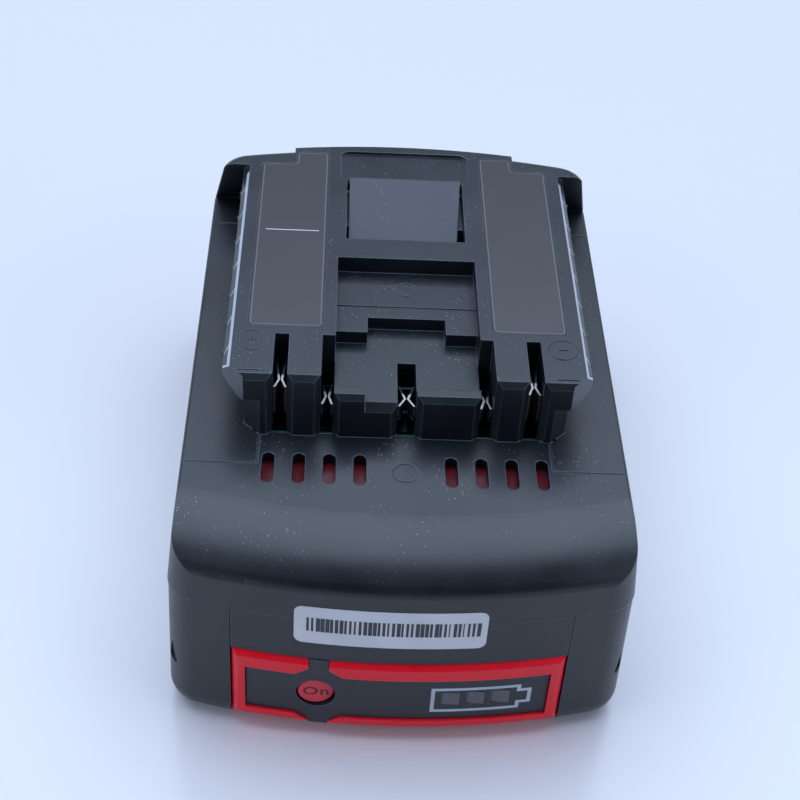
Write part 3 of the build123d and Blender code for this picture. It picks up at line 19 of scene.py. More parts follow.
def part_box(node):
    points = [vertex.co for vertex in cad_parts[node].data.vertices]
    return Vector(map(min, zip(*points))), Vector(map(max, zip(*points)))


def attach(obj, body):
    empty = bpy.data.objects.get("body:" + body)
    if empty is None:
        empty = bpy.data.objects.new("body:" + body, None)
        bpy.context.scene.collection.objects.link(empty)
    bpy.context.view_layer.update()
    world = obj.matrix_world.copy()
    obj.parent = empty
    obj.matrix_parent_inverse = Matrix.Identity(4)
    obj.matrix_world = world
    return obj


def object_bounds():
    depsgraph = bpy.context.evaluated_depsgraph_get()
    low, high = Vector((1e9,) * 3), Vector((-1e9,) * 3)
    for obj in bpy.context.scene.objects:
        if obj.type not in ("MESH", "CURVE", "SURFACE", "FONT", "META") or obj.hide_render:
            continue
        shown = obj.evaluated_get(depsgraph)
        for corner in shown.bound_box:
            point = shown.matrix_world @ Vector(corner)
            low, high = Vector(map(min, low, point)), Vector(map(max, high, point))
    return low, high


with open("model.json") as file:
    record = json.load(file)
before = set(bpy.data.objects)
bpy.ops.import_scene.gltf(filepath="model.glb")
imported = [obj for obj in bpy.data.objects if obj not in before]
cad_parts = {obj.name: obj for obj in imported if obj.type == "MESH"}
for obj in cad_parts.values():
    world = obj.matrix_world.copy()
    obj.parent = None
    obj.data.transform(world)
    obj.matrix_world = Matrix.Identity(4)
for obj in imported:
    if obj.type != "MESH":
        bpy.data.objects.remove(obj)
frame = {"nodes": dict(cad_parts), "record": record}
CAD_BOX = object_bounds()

log = logging.getLogger("battery_pack")

MM = 0.001
# The front face is bowed to this radius and stands here on the middle line
FACE_RADIUS = 137 * MM
FRONT_FACE_Y = -56.4 * MM
# Height of print above the face that it is on
PRINT_LIFT = 0.02 * MM
# Longest step of a printed line, short enough to follow the bowed face
PRINT_STEP = 1.5 * MM
# Least share of the stroke's own direction in a mitre, so that no sharp corner runs out to a spike
MITRE_LIMIT = 0.3
# Millimetres over which a rubbed or shaded zone ends
RUB_FADE = 0.6

Point = tuple[float, float]
Pair = tuple[Point, Point]
Place = tuple[float, float, float]
Colour = tuple[float, float, float, float]
Tree = bpy.types.NodeTree
Socket = bpy.types.NodeSocket
Material = bpy.types.Material


def linear(hex_colour: str) -> Colour:
    """Turn an sRGB hex colour into the linear values that a shader socket takes.

    Args:
        hex_colour: Colour written as "#rrggbb".

    Returns:
        Red, green, blue and an alpha of one.
    """
    channels = [int(hex_colour[i : i + 2], 16) / 255 for i in (1, 3, 5)]
    values = [c / 12.92 if c <= 0.04045 else ((c + 0.055) / 1.055) ** 2.4 for c in channels]
    return (*values, 1.0)


def add_node(
    tree: Tree, kind: str, inputs: dict[str | int, object] | None = None, **settings: object
) -> bpy.types.Node:
    """Add one node with its settings, and set or link its inputs.

    Args:
        tree: Node tree that gets the node.
        kind: Blender's identifier of the node type.
        inputs: Values or output sockets, by input name or number.
        **settings: Attributes of the node itself.

    Returns:
        The new node.
    """
    node = tree.nodes.new(kind)
    for name, value in settings.items():
        setattr(node, name, value)
    for key, value in (inputs or {}).items():
        if isinstance(value, Socket):
            tree.links.new(value, node.inputs[key])
        else:
            node.inputs[key].default_value = value
    return node


def new_material(name: str) -> tuple[Material, Tree]:
    """Make an empty node material.

    Args:
        name: The material's name.

    Returns:
        The material and its node tree, with no nodes in it.
    """
    material = bpy.data.materials.new(name)
    material.use_nodes = True
    material.node_tree.nodes.clear()
    return material, material.node_tree


def feed(tree: Tree, kind: str, inputs: dict[str | int, object], **settings: object) -> Socket:
    """Add one node and return its first output."""
    return add_node(tree, kind, inputs, **settings).outputs[0]


def noise(
    tree: Tree, place: Socket, width: float, detail: float, roughness: float = 0.5
) -> Socket:
    """Add a noise pattern with a width in millimetres, and return its strength."""
    inputs = {"Vector": place, "Scale": 1 / (width * MM), "Detail": detail, "Roughness": roughness}
    return feed(tree, "ShaderNodeTexNoise", inputs)


def fade(
    tree: Tree, value: Socket, span: Point, to: Point = (0.0, 1.0), **settings: object
) -> Socket:
    """Map a value from one range to another and hold it at the ends."""
    ends = {"From Min": span[0], "From Max": span[1], "To Min": to[0], "To Max": to[1]}
    return feed(tree, "ShaderNodeMapRange", {"Value": value, **ends}, **settings)


def combine(tree: Tree, operation: str, first: Socket, second: Socket | float) -> Socket:
    """Combine two values by one of Blender's operations."""
    return feed(tree, "ShaderNodeMath", {0: first, 1: second}, operation=operation)


def mix_colours(
    tree: Tree, share: Socket, first: Socket | Colour, second: Socket | Colour
) -> Socket:
    """Mix two colours by the share of the second one."""
    inputs = {"Factor": share, "A": first, "B": second}
    return add_node(tree, "ShaderNodeMix", inputs, data_type="RGBA").outputs["Result"]


def close_finish(
    tree: Tree, colour: Socket, roughness: Socket, relief: dict[str, object], **values: float
) -> None:
    """Add the relief, the shader and the output that every finish ends in.

    Args:
        tree: Node tree of the material.
        colour: Colour of the surface.
        roughness: Roughness of the surface.
        relief: Inputs of the bump node.
        **values: Inputs of the shader that are the same all over.
    """
    bump = feed(tree, "ShaderNodeBump", relief)
    inputs = {"Base Color": colour, "Roughness": roughness, "Normal": bump, **values}
    shader = feed(tree, "ShaderNodeBsdfPrincipled", inputs)
    add_node(tree, "ShaderNodeOutputMaterial", {"Surface": shader})


def direction(azimuth: float, elevation: float) -> Vector:
    """Turn degrees from +Y towards +X and degrees above the floor into a unit vector."""
    yaw, lift = math.radians(azimuth), math.radians(elevation)
    return Vector((math.sin(yaw) * math.cos(lift), math.cos(yaw) * math.cos(lift), math.sin(lift)))


def bow(x: float) -> float:
    """How far the bowed front face falls back at x from its middle line."""
    return FACE_RADIUS - math.sqrt(FACE_RADIUS**2 - x**2)


class Body(Enum):
    """The bodies of the frame that carry the printed marks."""

    CASE = "case"
    GAUGE_PUSH = "gauge_push"


@dataclass(frozen=True)
class Dust:
    """Fine pale specks that settle in patches on the faces that look up.

    Attributes:
        share: How much of the plastic a full speck covers.
        colour: Hex colour of the specks.
        spacing: Distance from speck to speck.
        rim: Distances from its middle at which a speck starts and is full, in spacings.
        patch: Width of the dusty patches.
        patch_rim: Strengths of their pattern at which a patch starts and is full.
        slope: Upward shares of the normal at which dust starts to lie and lies in full.
    """

    share: float
    colour: str = "#b9bec6"
    spacing: float = 0.85
    rim: Point = (0.14, 0.09)
    patch: float = 9.0
    patch_rim: Point = (0.44, 0.6)
    slope: Point = (0.7, 0.95)

    def settle(self, tree: Tree, place: Socket, normal: Socket, under: Socket) -> Socket:
        """Lay the specks over a colour.

        Args:
            tree: Node tree of the material.
            place: Object coordinates.
            normal: True normal of the surface.
            under: Colour below the dust.

        Returns:
            The colour with its dust.
        """
        inputs = {"Vector": place, "Scale": 1 / (self.spacing * MM)}
        speck = fade(tree, feed(tree, "ShaderNodeTexVoronoi", inputs), self.rim)
        patch = fade(tree, noise(tree, place, self.patch, detail=3.0), self.patch_rim)
        upward = add_node(tree, "ShaderNodeSeparateXYZ", {"Vector": normal}).outputs["Z"]
        level = fade(tree, upward, self.slope)
        where = combine(tree, "MULTIPLY", combine(tree, "MULTIPLY", speck, patch), level)
        amount = combine(tree, "MULTIPLY", where, self.share)
        return mix_colours(tree, amount, under, linear(self.colour))


@dataclass(frozen=True)
class MouldedPlastic:
    """Injection-moulded plastic: its spark-eroded mould leaves a fine grain that softens the gloss.

    Attributes:
        name: Name of the material.
        colour: Hex colour of the resin.
        worn_colour: Hex colour that smudges tend to.
        roughness: Middle roughness of the skin.
        grain: Width of the mould grain.
        grain_depth: Height of the grain.
        edge: Radius of the moulded edges.
        dust: How much of the plastic a full speck of dust covers.
        ior: Index of refraction of the resin.
        edge_wear_and_highlight_colour: Hex colour of the edges, partly rubbed wear and partly a
            painted highlight where they catch the light.
        shade_above: Height above which the part lies inside the dark case, where painted shade
            darkens it.
            The default is above the whole pack.
        inner_shade_colour: Hex colour of that painted shade.
        smudge: Width of the smudges.
        smudge_rim: Strengths of their pattern at which a smudge starts and is full.
        smudge_share: Share of the worn colour in a full smudge.
        gloss_rim: Strengths of that pattern between which the gloss changes.
        gloss_change: What the roughness gains at those two.
        edge_turn: Cosines of an edge's turn at which its wear and painted highlight start and are
            in full.
    """

    name: str
    colour: str
    worn_colour: str
    roughness: float = 0.42
    grain: float = 0.45
    grain_depth: float = 0.012
    edge: float = 0.28
    dust: float = 0.5
    ior: float = 1.5
    edge_wear_and_highlight_colour: str = "#767f8c"
    shade_above: float = 100.0
    inner_shade_colour: str = "#5c0d18"
    smudge: float = 14.0
    smudge_rim: Point = (0.35, 0.75)
    smudge_share: float = 0.35
    gloss_rim: Point = (0.3, 0.7)
    gloss_change: Point = (-0.05, 0.06)
    edge_turn: Point = (0.995, 0.86)

    def build(self) -> Material:
        """Build the node tree of the finish.

        Returns:
            The material.
        """
        material, tree = new_material(self.name)
        place = add_node(tree, "ShaderNodeTexCoord").outputs["Object"]
        normal = add_node(tree, "ShaderNodeNewGeometry").outputs["True Normal"]
        grain = noise(tree, place, self.grain, detail=3.0, roughness=0.6)
        smudge = noise(tree, place, self.smudge, detail=5.0, roughness=0.62)
        rounded = feed(tree, "ShaderNodeBevel", {"Radius": self.edge * MM}, samples=6)
        normals = {0: rounded, 1: normal}
        turn = add_node(tree, "ShaderNodeVectorMath", normals, operation="DOT_PRODUCT")
        edge = fade(tree, turn.outputs["Value"], self.edge_turn)
        smudged = combine(tree, "MULTIPLY", fade(tree, smudge, self.smudge_rim), self.smudge_share)
        colour = mix_colours(tree, smudged, linear(self.colour), linear(self.worn_colour))
        # Pale edges broken by the smudge pattern: partly rubbed wear, partly a painted highlight of
        # edges catching the light
        edge_wear_and_highlight = combine(tree, "MULTIPLY", edge, smudge)
        colour = mix_colours(tree, edge_wear_and_highlight, colour, linear(self.edge_wear_and_highlight_colour))
        # Painted shade: above this height the part lies inside the case, so its colour is darkened
        height = add_node(tree, "ShaderNodeSeparateXYZ", {"Vector": place}).outputs["Z"]
        inner_shade = fade(tree, height, (self.shade_above * MM, (self.shade_above + RUB_FADE) * MM))
        colour = mix_colours(tree, inner_shade, colour, linear(self.inner_shade_colour))
        colour = Dust(self.dust).settle(tree, place, normal, colour)
        gloss = tuple(self.roughness + change for change in self.gloss_change)
        roughness = fade(tree, smudge, self.gloss_rim, gloss)
        relief = {"Normal": rounded, "Height": grain, "Distance": self.grain_depth * MM}
        relief["Strength"] = 1.0
        close_finish(tree, colour, roughness, relief, IOR=self.ior)
        return material


@dataclass(frozen=True)
class PrintedFilm:
    """Laminated label film or coated paper: smooth, with a slight waviness from the glue below.

    Attributes:
        name: Name of the material.
        colour: Hex colour of the print.
        roughness: Roughness of the lamination.
        fibre: Width of the paper fibre or orange peel.
        fibre_depth: Height of that texture.
        gloss_change: How far the roughness swings about its middle.
        wave: Width of the waves.
        wave_rim: Strengths of their pattern between which the tone changes.
        wave_tone: Brightness of the colour at those two.
    """

    name: str
    colour: str
    roughness: float = 0.4
    fibre: float = 0.3
    fibre_depth: float = 0.004
    gloss_change: float = 0.06
    wave: float = 7.0
    wave_rim: Point = (0.3, 0.7)
    wave_tone: Point = (0.94, 1.05)

    def build(self) -> Material:
        """Build the node tree of the finish.

        Returns:
            The material.
        """
        material, tree = new_material(self.name)
        place = add_node(tree, "ShaderNodeTexCoord").outputs["Object"]
        fibre = noise(tree, place, self.fibre, detail=4.0)
        waves = noise(tree, place, self.wave, detail=2.0)
        tone = fade(tree, waves, self.wave_rim, self.wave_tone)
        inputs = {0: linear(self.colour)[:3], "Scale": tone}
        colour = feed(tree, "ShaderNodeVectorMath", inputs, operation="SCALE")
        swing = (self.roughness - self.gloss_change, self.roughness + self.gloss_change)
        roughness = fade(tree, fibre, (0.0, 1.0), swing)
        relief = {"Height": fibre, "Strength": 1.0, "Distance": self.fibre_depth * MM}
        close_finish(tree, colour, roughness, relief)
        return material


@dataclass(frozen=True)
class PlatedMetal:
    """Rolled, drawn or plated metal: fine lines run the way it was worked and break its reflection.

    Attributes:
        name: Name of the material.
        colour: Hex colour of the metal.
        roughness: Middle roughness.
        line: Spacing of the rolling or drawing lines.
        tarnish: Hex colour of the tarnished patches.
        shade_below: Height below which painted shade darkens the metal.
            The default is below the whole pack.
        shade_behind: Place along Y behind which painted shade darkens it.
            The default is behind the whole pack.
        slot_shade_colour: Hex colour of that painted shade.
        line_stretch: Length of the lines, where a smaller share makes them longer.
        line_depth: Depth of the lines.
        line_strength: How strongly they show.
        gloss_change: What the roughness gains on and between the lines.
        patch: Width of the tarnished patches.
        patch_rim: Strengths of their pattern at which a patch starts and is full.
        patch_share: Share of the tarnish in a full patch.
    """

    name: str
    colour: str
    roughness: float = 0.28
    line: float = 0.12
    tarnish: str = "#6d675f"
    shade_below: float = -10.0
    shade_behind: float = 100.0
    slot_shade_colour: str = "#16282b"
    line_stretch: float = 0.12
    line_depth: float = 0.004
    line_strength: float = 0.6
    gloss_change: Point = (-0.1, 0.12)
    patch: float = 2.5
    patch_rim: Point = (0.5, 0.8)
    patch_share: float = 0.5

    def build(self) -> Material:
        """Build the node tree of the finish.

        Returns:
            The material.
        """
        material, tree = new_material(self.name)
        place = add_node(tree, "ShaderNodeTexCoord").outputs["Object"]
        inputs = {"Vector": place, "Scale": (1.0, self.line_stretch, 1.0)}
        stretched = feed(tree, "ShaderNodeMapping", inputs, vector_type="POINT")
        lines = noise(tree, stretched, self.line, detail=2.0)
        patches = noise(tree, place, self.patch, detail=4.0)
        tarnished = fade(tree, patches, self.patch_rim, (0.0, self.patch_share))
        colour = mix_colours(tree, tarnished, linear(self.colour), linear(self.tarnish))
        parts = add_node(tree, "ShaderNodeSeparateXYZ", {"Vector": place}).outputs
        # Painted shade: the metal is darkened low in the slots and behind the blades' pinch, where
        # shade falls
        rim_low = (self.shade_below * MM, (self.shade_below - RUB_FADE) * MM)
        rim_behind = (self.shade_behind * MM, (self.shade_behind + RUB_FADE) * MM)
        low, behind = fade(tree, parts["Z"], rim_low), fade(tree, parts["Y"], rim_behind)
        slot_shade = combine(tree, "MAXIMUM", low, behind)
        colour = mix_colours(tree, slot_shade, colour, linear(self.slot_shade_colour))
        gloss = tuple(self.roughness + change for change in self.gloss_change)
        roughness = fade(tree, lines, (0.0, 1.0), gloss)
        relief = {"Height": lines, "Distance": self.line_depth * MM}
        relief["Strength"] = self.line_strength
        close_finish(tree, colour, roughness, relief, Metallic=1.0)
        return material


def finishes() -> dict[str, Material]:
    """Build every finish of the pack.

    Returns:
        The materials by the record's slot name, and the inks and painted highlights by their own
        names.
    """
    kinds = {
        # Black ABS and polycarbonate blend, spark-eroded: soft gloss, cool grey at a grazing angle
        "black_case": MouldedPlastic(
            "black_abs_moulded", "#10151b", "#20262e", roughness=0.36, ior=1.55
        ),
        # The same blend from a finer mould: the panel of the gauge
        "black_panel": MouldedPlastic(
            "black_abs_satin", "#141a21", "#242b33", roughness=0.4, grain=0.3, ior=1.55
        ),
        # Red ABS of the tub and gauge frame: smoother mould, so a clearer highlight; painted shade
        # darkens its inside, seen through the vents
        "red_case": MouldedPlastic(
            "red_abs_satin", "#ee0d22", "#e8283c", roughness=0.3, grain=0.35, dust=0.2,
            ior=1.42, edge_wear_and_highlight_colour="#f2505f", shade_above=22.0,
        ),
        # Red ABS of the buttons: handled often, so paler and duller
        "red_button": MouldedPlastic(
            "red_abs_button", "#e4283a", "#e65060", grain=0.25, dust=0.1,
            edge_wear_and_highlight_colour="#ee6a76",
        ),
        # Grey acetal of the latch: waxy and smooth, with a broad highlight
        "latch_plastic": MouldedPlastic(
            "grey_acetal", "#2a2b36", "#363845", roughness=0.36, grain=0.2,
            grain_depth=0.004, dust=0.3, ior=1.48,
        ),
        # Laminated film of the top labels: dark, with the faint waves of its glue
        "label_film": PrintedFilm("label_film_laminated", "#3a3537", roughness=0.34, fibre=0.5),
        # Coated paper of the front sticker: pale and nearly matt
        "paper_sticker": PrintedFilm("coated_paper_white", "#d3d4d8", roughness=0.38),
        # Green lacquer over the woven glass of the boards
        "circuit_laminate": MouldedPlastic(
            "solder_mask_on_glass_laminate", "#0f4f45", "#1b6b5e", roughness=0.25,
            grain=0.6, dust=0.0,
        ),
        # Matt grey fibre paper that insulates board and links
        "insulating_paper": PrintedFilm(
            "fibre_paper_grey", "#9fa8a6", roughness=0.7, fibre_depth=0.01
        ),
        # Blackened zinc on the screws: dark metal with a low gloss
        "zinc_steel": PlatedMetal("black_zinc_steel", "#5a5c60", roughness=0.38),
        # Drawn wire of the latch springs: bright, with lines along its length
        "spring_steel": PlatedMetal("drawn_spring_wire", "#a9abad", roughness=0.26),
        # Black nylon of the gauge switch
        "switch_body": MouldedPlastic(
            "black_nylon_moulded", "#1b1b1b", "#2b2b2b", grain=0.2, dust=0.0
        ),
        # Blue shrink sleeve of the cells: glossy and slightly uneven
        "cell_sleeve": MouldedPlastic(
            "pvc_sleeve_blue", "#2b5f8f", "#3c719f", roughness=0.3, grain=1.2, dust=0.0
        ),
        # Nickel of the cell links: warm grey, with rolling lines
        "nickel_strip": PlatedMetal("rolled_nickel", "#c9c4ba"),
        # Tin plating: bright where the tool's blades rub, with painted shade darkening it in the
        # depth of the slots
        "tinned_copper": PlatedMetal(
            "tin_plated_copper", "#a19d99", roughness=0.3, line=0.08,
            shade_below=44.2, shade_behind=-21.2,
        ),
        # Clear cream resin round the three diodes
        "led_body": PrintedFilm("cast_resin_cream", "#d8d2b4", roughness=0.25),
        # Frosted windows of the gauge: grey while the lights are off
        "light_diffuser": MouldedPlastic(
            "frosted_polycarbonate", "#52525a", "#63636b", roughness=0.3, grain=0.3,
            dust=0.0, ior=1.58,
        ),
        # Screen-printed inks: a dry film that stands a hair above the plastic
        "pale_ink": PrintedFilm("screen_ink_pale_grey", "#b9c0cb", roughness=0.5),
        "dark_red_ink": PrintedFilm("screen_ink_dark_red", "#4a1018", roughness=0.5),
        # Thermal print of the bars: dark grey and slightly glossy
        "black_ink": PrintedFilm("thermal_print_black", "#33343c", roughness=0.45),
        # Painted highlight: the pale line where the label film's cut edge catches the light
        "label_edge_highlight": PrintedFilm("label_edge_highlight_film", "#5f6067", roughness=0.5),
        # Painted highlight along the bevels of the rail lips, where their edges catch the light
        "lip_highlight": MouldedPlastic(
            "lip_highlight_abs", "#a9adb8", "#7b808b", roughness=0.36, grain=0.3,
            dust=0.0, edge_wear_and_highlight_colour="#a9adb8",
        ),
        # Slanted ends of those lips: a painted sheen, paler than the black case
        "lip_end_sheen": MouldedPlastic(
            "lip_end_sheen_abs", "#3a3f4a", "#4a505b", roughness=0.3, grain=0.4,
            dust=0.0, edge_wear_and_highlight_colour="#8d94a1",
        ),
    }
    return {slot: kind.build() for slot, kind in kinds.items()}


def piece_from_mesh(name: str, mesh: bpy.types.Mesh, material: Material) -> bpy.types.Object:
    """Link a finished mesh as an object at the origin.

    Args:
        name: Name of the piece.
        mesh: Its mesh, already in place.
        material: Its only material.

    Returns:
        The new object.
    """
    piece = bpy.data.objects.new(name, mesh)
    mesh.name = name
    mesh.materials.clear()
    mesh.materials.append(material)
    bpy.context.scene.collection.objects.link(piece)
    return piece


def dress(piece: bpy.types.Object, body: Body) -> None:
    """Let a finished piece ride on its body.

    Args:
        piece: The finished object.
        body: Body of the frame that carries it.
    """
    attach(piece, body.value)
    log.info("%s rides on %s with %d faces", piece.name, body.value, len(piece.data.polygons))


def split_long(points: list[Point], longest: float) -> list[Point]:
    """Put points on the long stretches of a path, so that it can follow a bowed face.

    Args:
        points: Corners of the path.
        longest: Longest step that may stay whole.

    Returns:
        The path with its added points.
    """
    path = [points[0]]
    for start, end in zip(points[:-1], points[1:]):
        steps = max(1, math.ceil(math.dist(start, end) / longest))
        path += [
            (start[0] + (end[0] - start[0]) * n / steps, start[1] + (end[1] - start[1]) * n / steps)
            for n in range(1, steps + 1)
        ]
    return path


def printed_line(corners: list[Point], stroke: float, closed: bool) -> list[Pair]:
    """Widen a path to a printed line with mitred corners.

    Args:
        corners: Corners of the line's middle, in the plane of the print.
        stroke: Width of the line.
        closed: Whether the line ends where it starts.

    Returns:
        Pairs of points, one on each edge of the line.
    """
    ring = corners + [corners[0]] if closed else corners
    path = split_long(ring, PRINT_STEP)
    pairs = []
    count = len(path)
    for i, point in enumerate(path):
        before = path[i - 1] if i > 0 else (path[-2] if closed else point)
        after = path[i + 1] if i < count - 1 else (path[1] if closed else point)
        first = Vector(point) - Vector(before)
        second = Vector(after) - Vector(point)
        first = first.normalized() if first.length > 0 else second.normalized()
        second = second.normalized() if second.length > 0 else first
        across = Vector((-(first.y + second.y), first.x + second.x)).normalized()
        reach = stroke / 2 / max(MITRE_LIMIT, across.dot(Vector((-first.y, first.x))))
        x, y = across.x * reach, across.y * reach
        pairs.append(((point[0] - x, point[1] - y), (point[0] + x, point[1] + y)))
    return pairs


def print_on(
    name: str, pairs: list[Pair], closed: bool, lay: Callable[[float, float], Place], ink: Material
) -> bpy.types.Object:
    """Lay a printed line on a face that looks forward or up.

    Args:
        name: Name of the piece.
        pairs: Points on the two edges of the line.
        closed: Whether its last pair is its first one again.
        lay: Turns a point of the print into its place on the face.
        ink: Material of the print.

    Returns:
        The line as one mesh.
    """
    sheet = bmesh.new()
    used = pairs[:-1] if closed else pairs
    rows = [[sheet.verts.new(lay(*point)) for point in pair] for pair in used]
    if closed:
        rows.append(rows[0])
    for row, other in zip(rows[:-1], rows[1:]):
        sheet.faces.new((row[0], other[0], other[1], row[1]))
    bmesh.ops.recalc_face_normals(sheet, faces=sheet.faces)
    sheet.faces.ensure_lookup_table()
    facing = sheet.faces[0].normal
    if facing.z - facing.y < 0:
        bmesh.ops.reverse_faces(sheet, faces=sheet.faces)
    mesh = bpy.data.meshes.new(name)
    sheet.to_mesh(mesh)
    sheet.free()
    return piece_from_mesh(name, mesh, ink)


@dataclass
class GaugeMarks:
    """Printed marks of the charge gauge: the battery pictogram and the lettering of its button.

    Attributes:
        panel_face_y: Place of the panel's face on the middle line.
        outline: Left, right, low and high edge of the pictogram's body.
        nub: Right, low and high edge of its terminal nub.
        stroke: Width of the printed line.
        letter_height: Height of the capital on the button.
        letter_stretch: Width of the letters, where 1 is the font's own.
        letter_weight: How much each stroke of the letters is thickened.
        letter_spacing: Distance between the letters, where 1 is the font's own.
        capital_share: Height of a capital as a share of the font's size.
        curve_steps: Number of straight steps in each curve of a letter.
    """

    panel_face_y: float = FRONT_FACE_Y - 0.1 * MM
    outline: tuple[float, ...] = (5.85 * MM, 20.15 * MM, 7.85 * MM, 13.3 * MM)
    nub: Place = (22.0 * MM, 9.15 * MM, 12.2 * MM)
    stroke: float = 0.65 * MM
    letter_height: float = 2.0 * MM
    letter_stretch: float = 1.16
    letter_weight: float = 0.05 * MM
    letter_spacing: float = 1.12
    capital_share: float = 0.72
    curve_steps: int = 4

    def pictogram(self, ink: Material) -> bpy.types.Object:
        """Print the outline of a battery round the three light windows.

        Args:
            ink: Material of the print.

        Returns:
            The printed line as one mesh.
        """
        left, right, low, high = self.outline
        nub_right, nub_low, nub_high = self.nub
        nub = [(right, nub_low), (nub_right, nub_low), (nub_right, nub_high), (right, nub_high)]
        corners = [(left, low), (right, low), *nub, (right, high), (left, high)]
        pairs = printed_line(corners, self.stroke, closed=True)
        face_y = self.panel_face_y - PRINT_LIFT
        return print_on("gauge_pictogram", pairs, True, lambda x, z: (x, face_y + bow(x), z), ink)

    def lettering(self, ink: Material) -> bpy.types.Object:
        """Print the plain word On on the face of the gauge button.

        Args:
            ink: Material of the print.

        Returns:
            The word as one mesh on the button's face.
        """
        low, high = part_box("gauge_button")
        curve = bpy.data.curves.new("gauge_lettering", "FONT")
        curve.body = "On"
        curve.size = self.letter_height / self.capital_share
        curve.align_x = "CENTER"
        curve.align_y = "CENTER"
        curve.offset = self.letter_weight
        curve.space_character = self.letter_spacing
        curve.resolution_u = self.curve_steps
        writing = bpy.data.objects.new("lettering_curve", curve)
        bpy.context.scene.collection.objects.link(writing)
        bpy.context.view_layer.update()
        depsgraph = bpy.context.evaluated_depsgraph_get()
        mesh = bpy.data.meshes.new_from_object(writing.evaluated_get(depsgraph))
        bpy.data.objects.remove(writing)
        span = [v.co.x * self.letter_stretch for v in mesh.vertices]
        middle_x = (min(span) + max(span)) / 2
        place = Vector(((low.x + high.x) / 2 - middle_x, low.y - PRINT_LIFT, (low.z + high.z) / 2))
        widen = Matrix.Scale(self.letter_stretch, 4, Vector((1.0, 0.0, 0.0)))
        mesh.transform(Matrix.Translation(place) @ widen @ Matrix.Rotation(math.pi / 2, 4, "X"))
        return piece_from_mesh("gauge_lettering", mesh, ink)

    def build(self, inks: dict[str, Material]) -> None:
        """Build both marks with their inks and let them ride."""
        dress(self.pictogram(inks["pale_ink"]), Body.CASE)
        dress(self.lettering(inks["dark_red_ink"]), Body.GAUGE_PUSH)


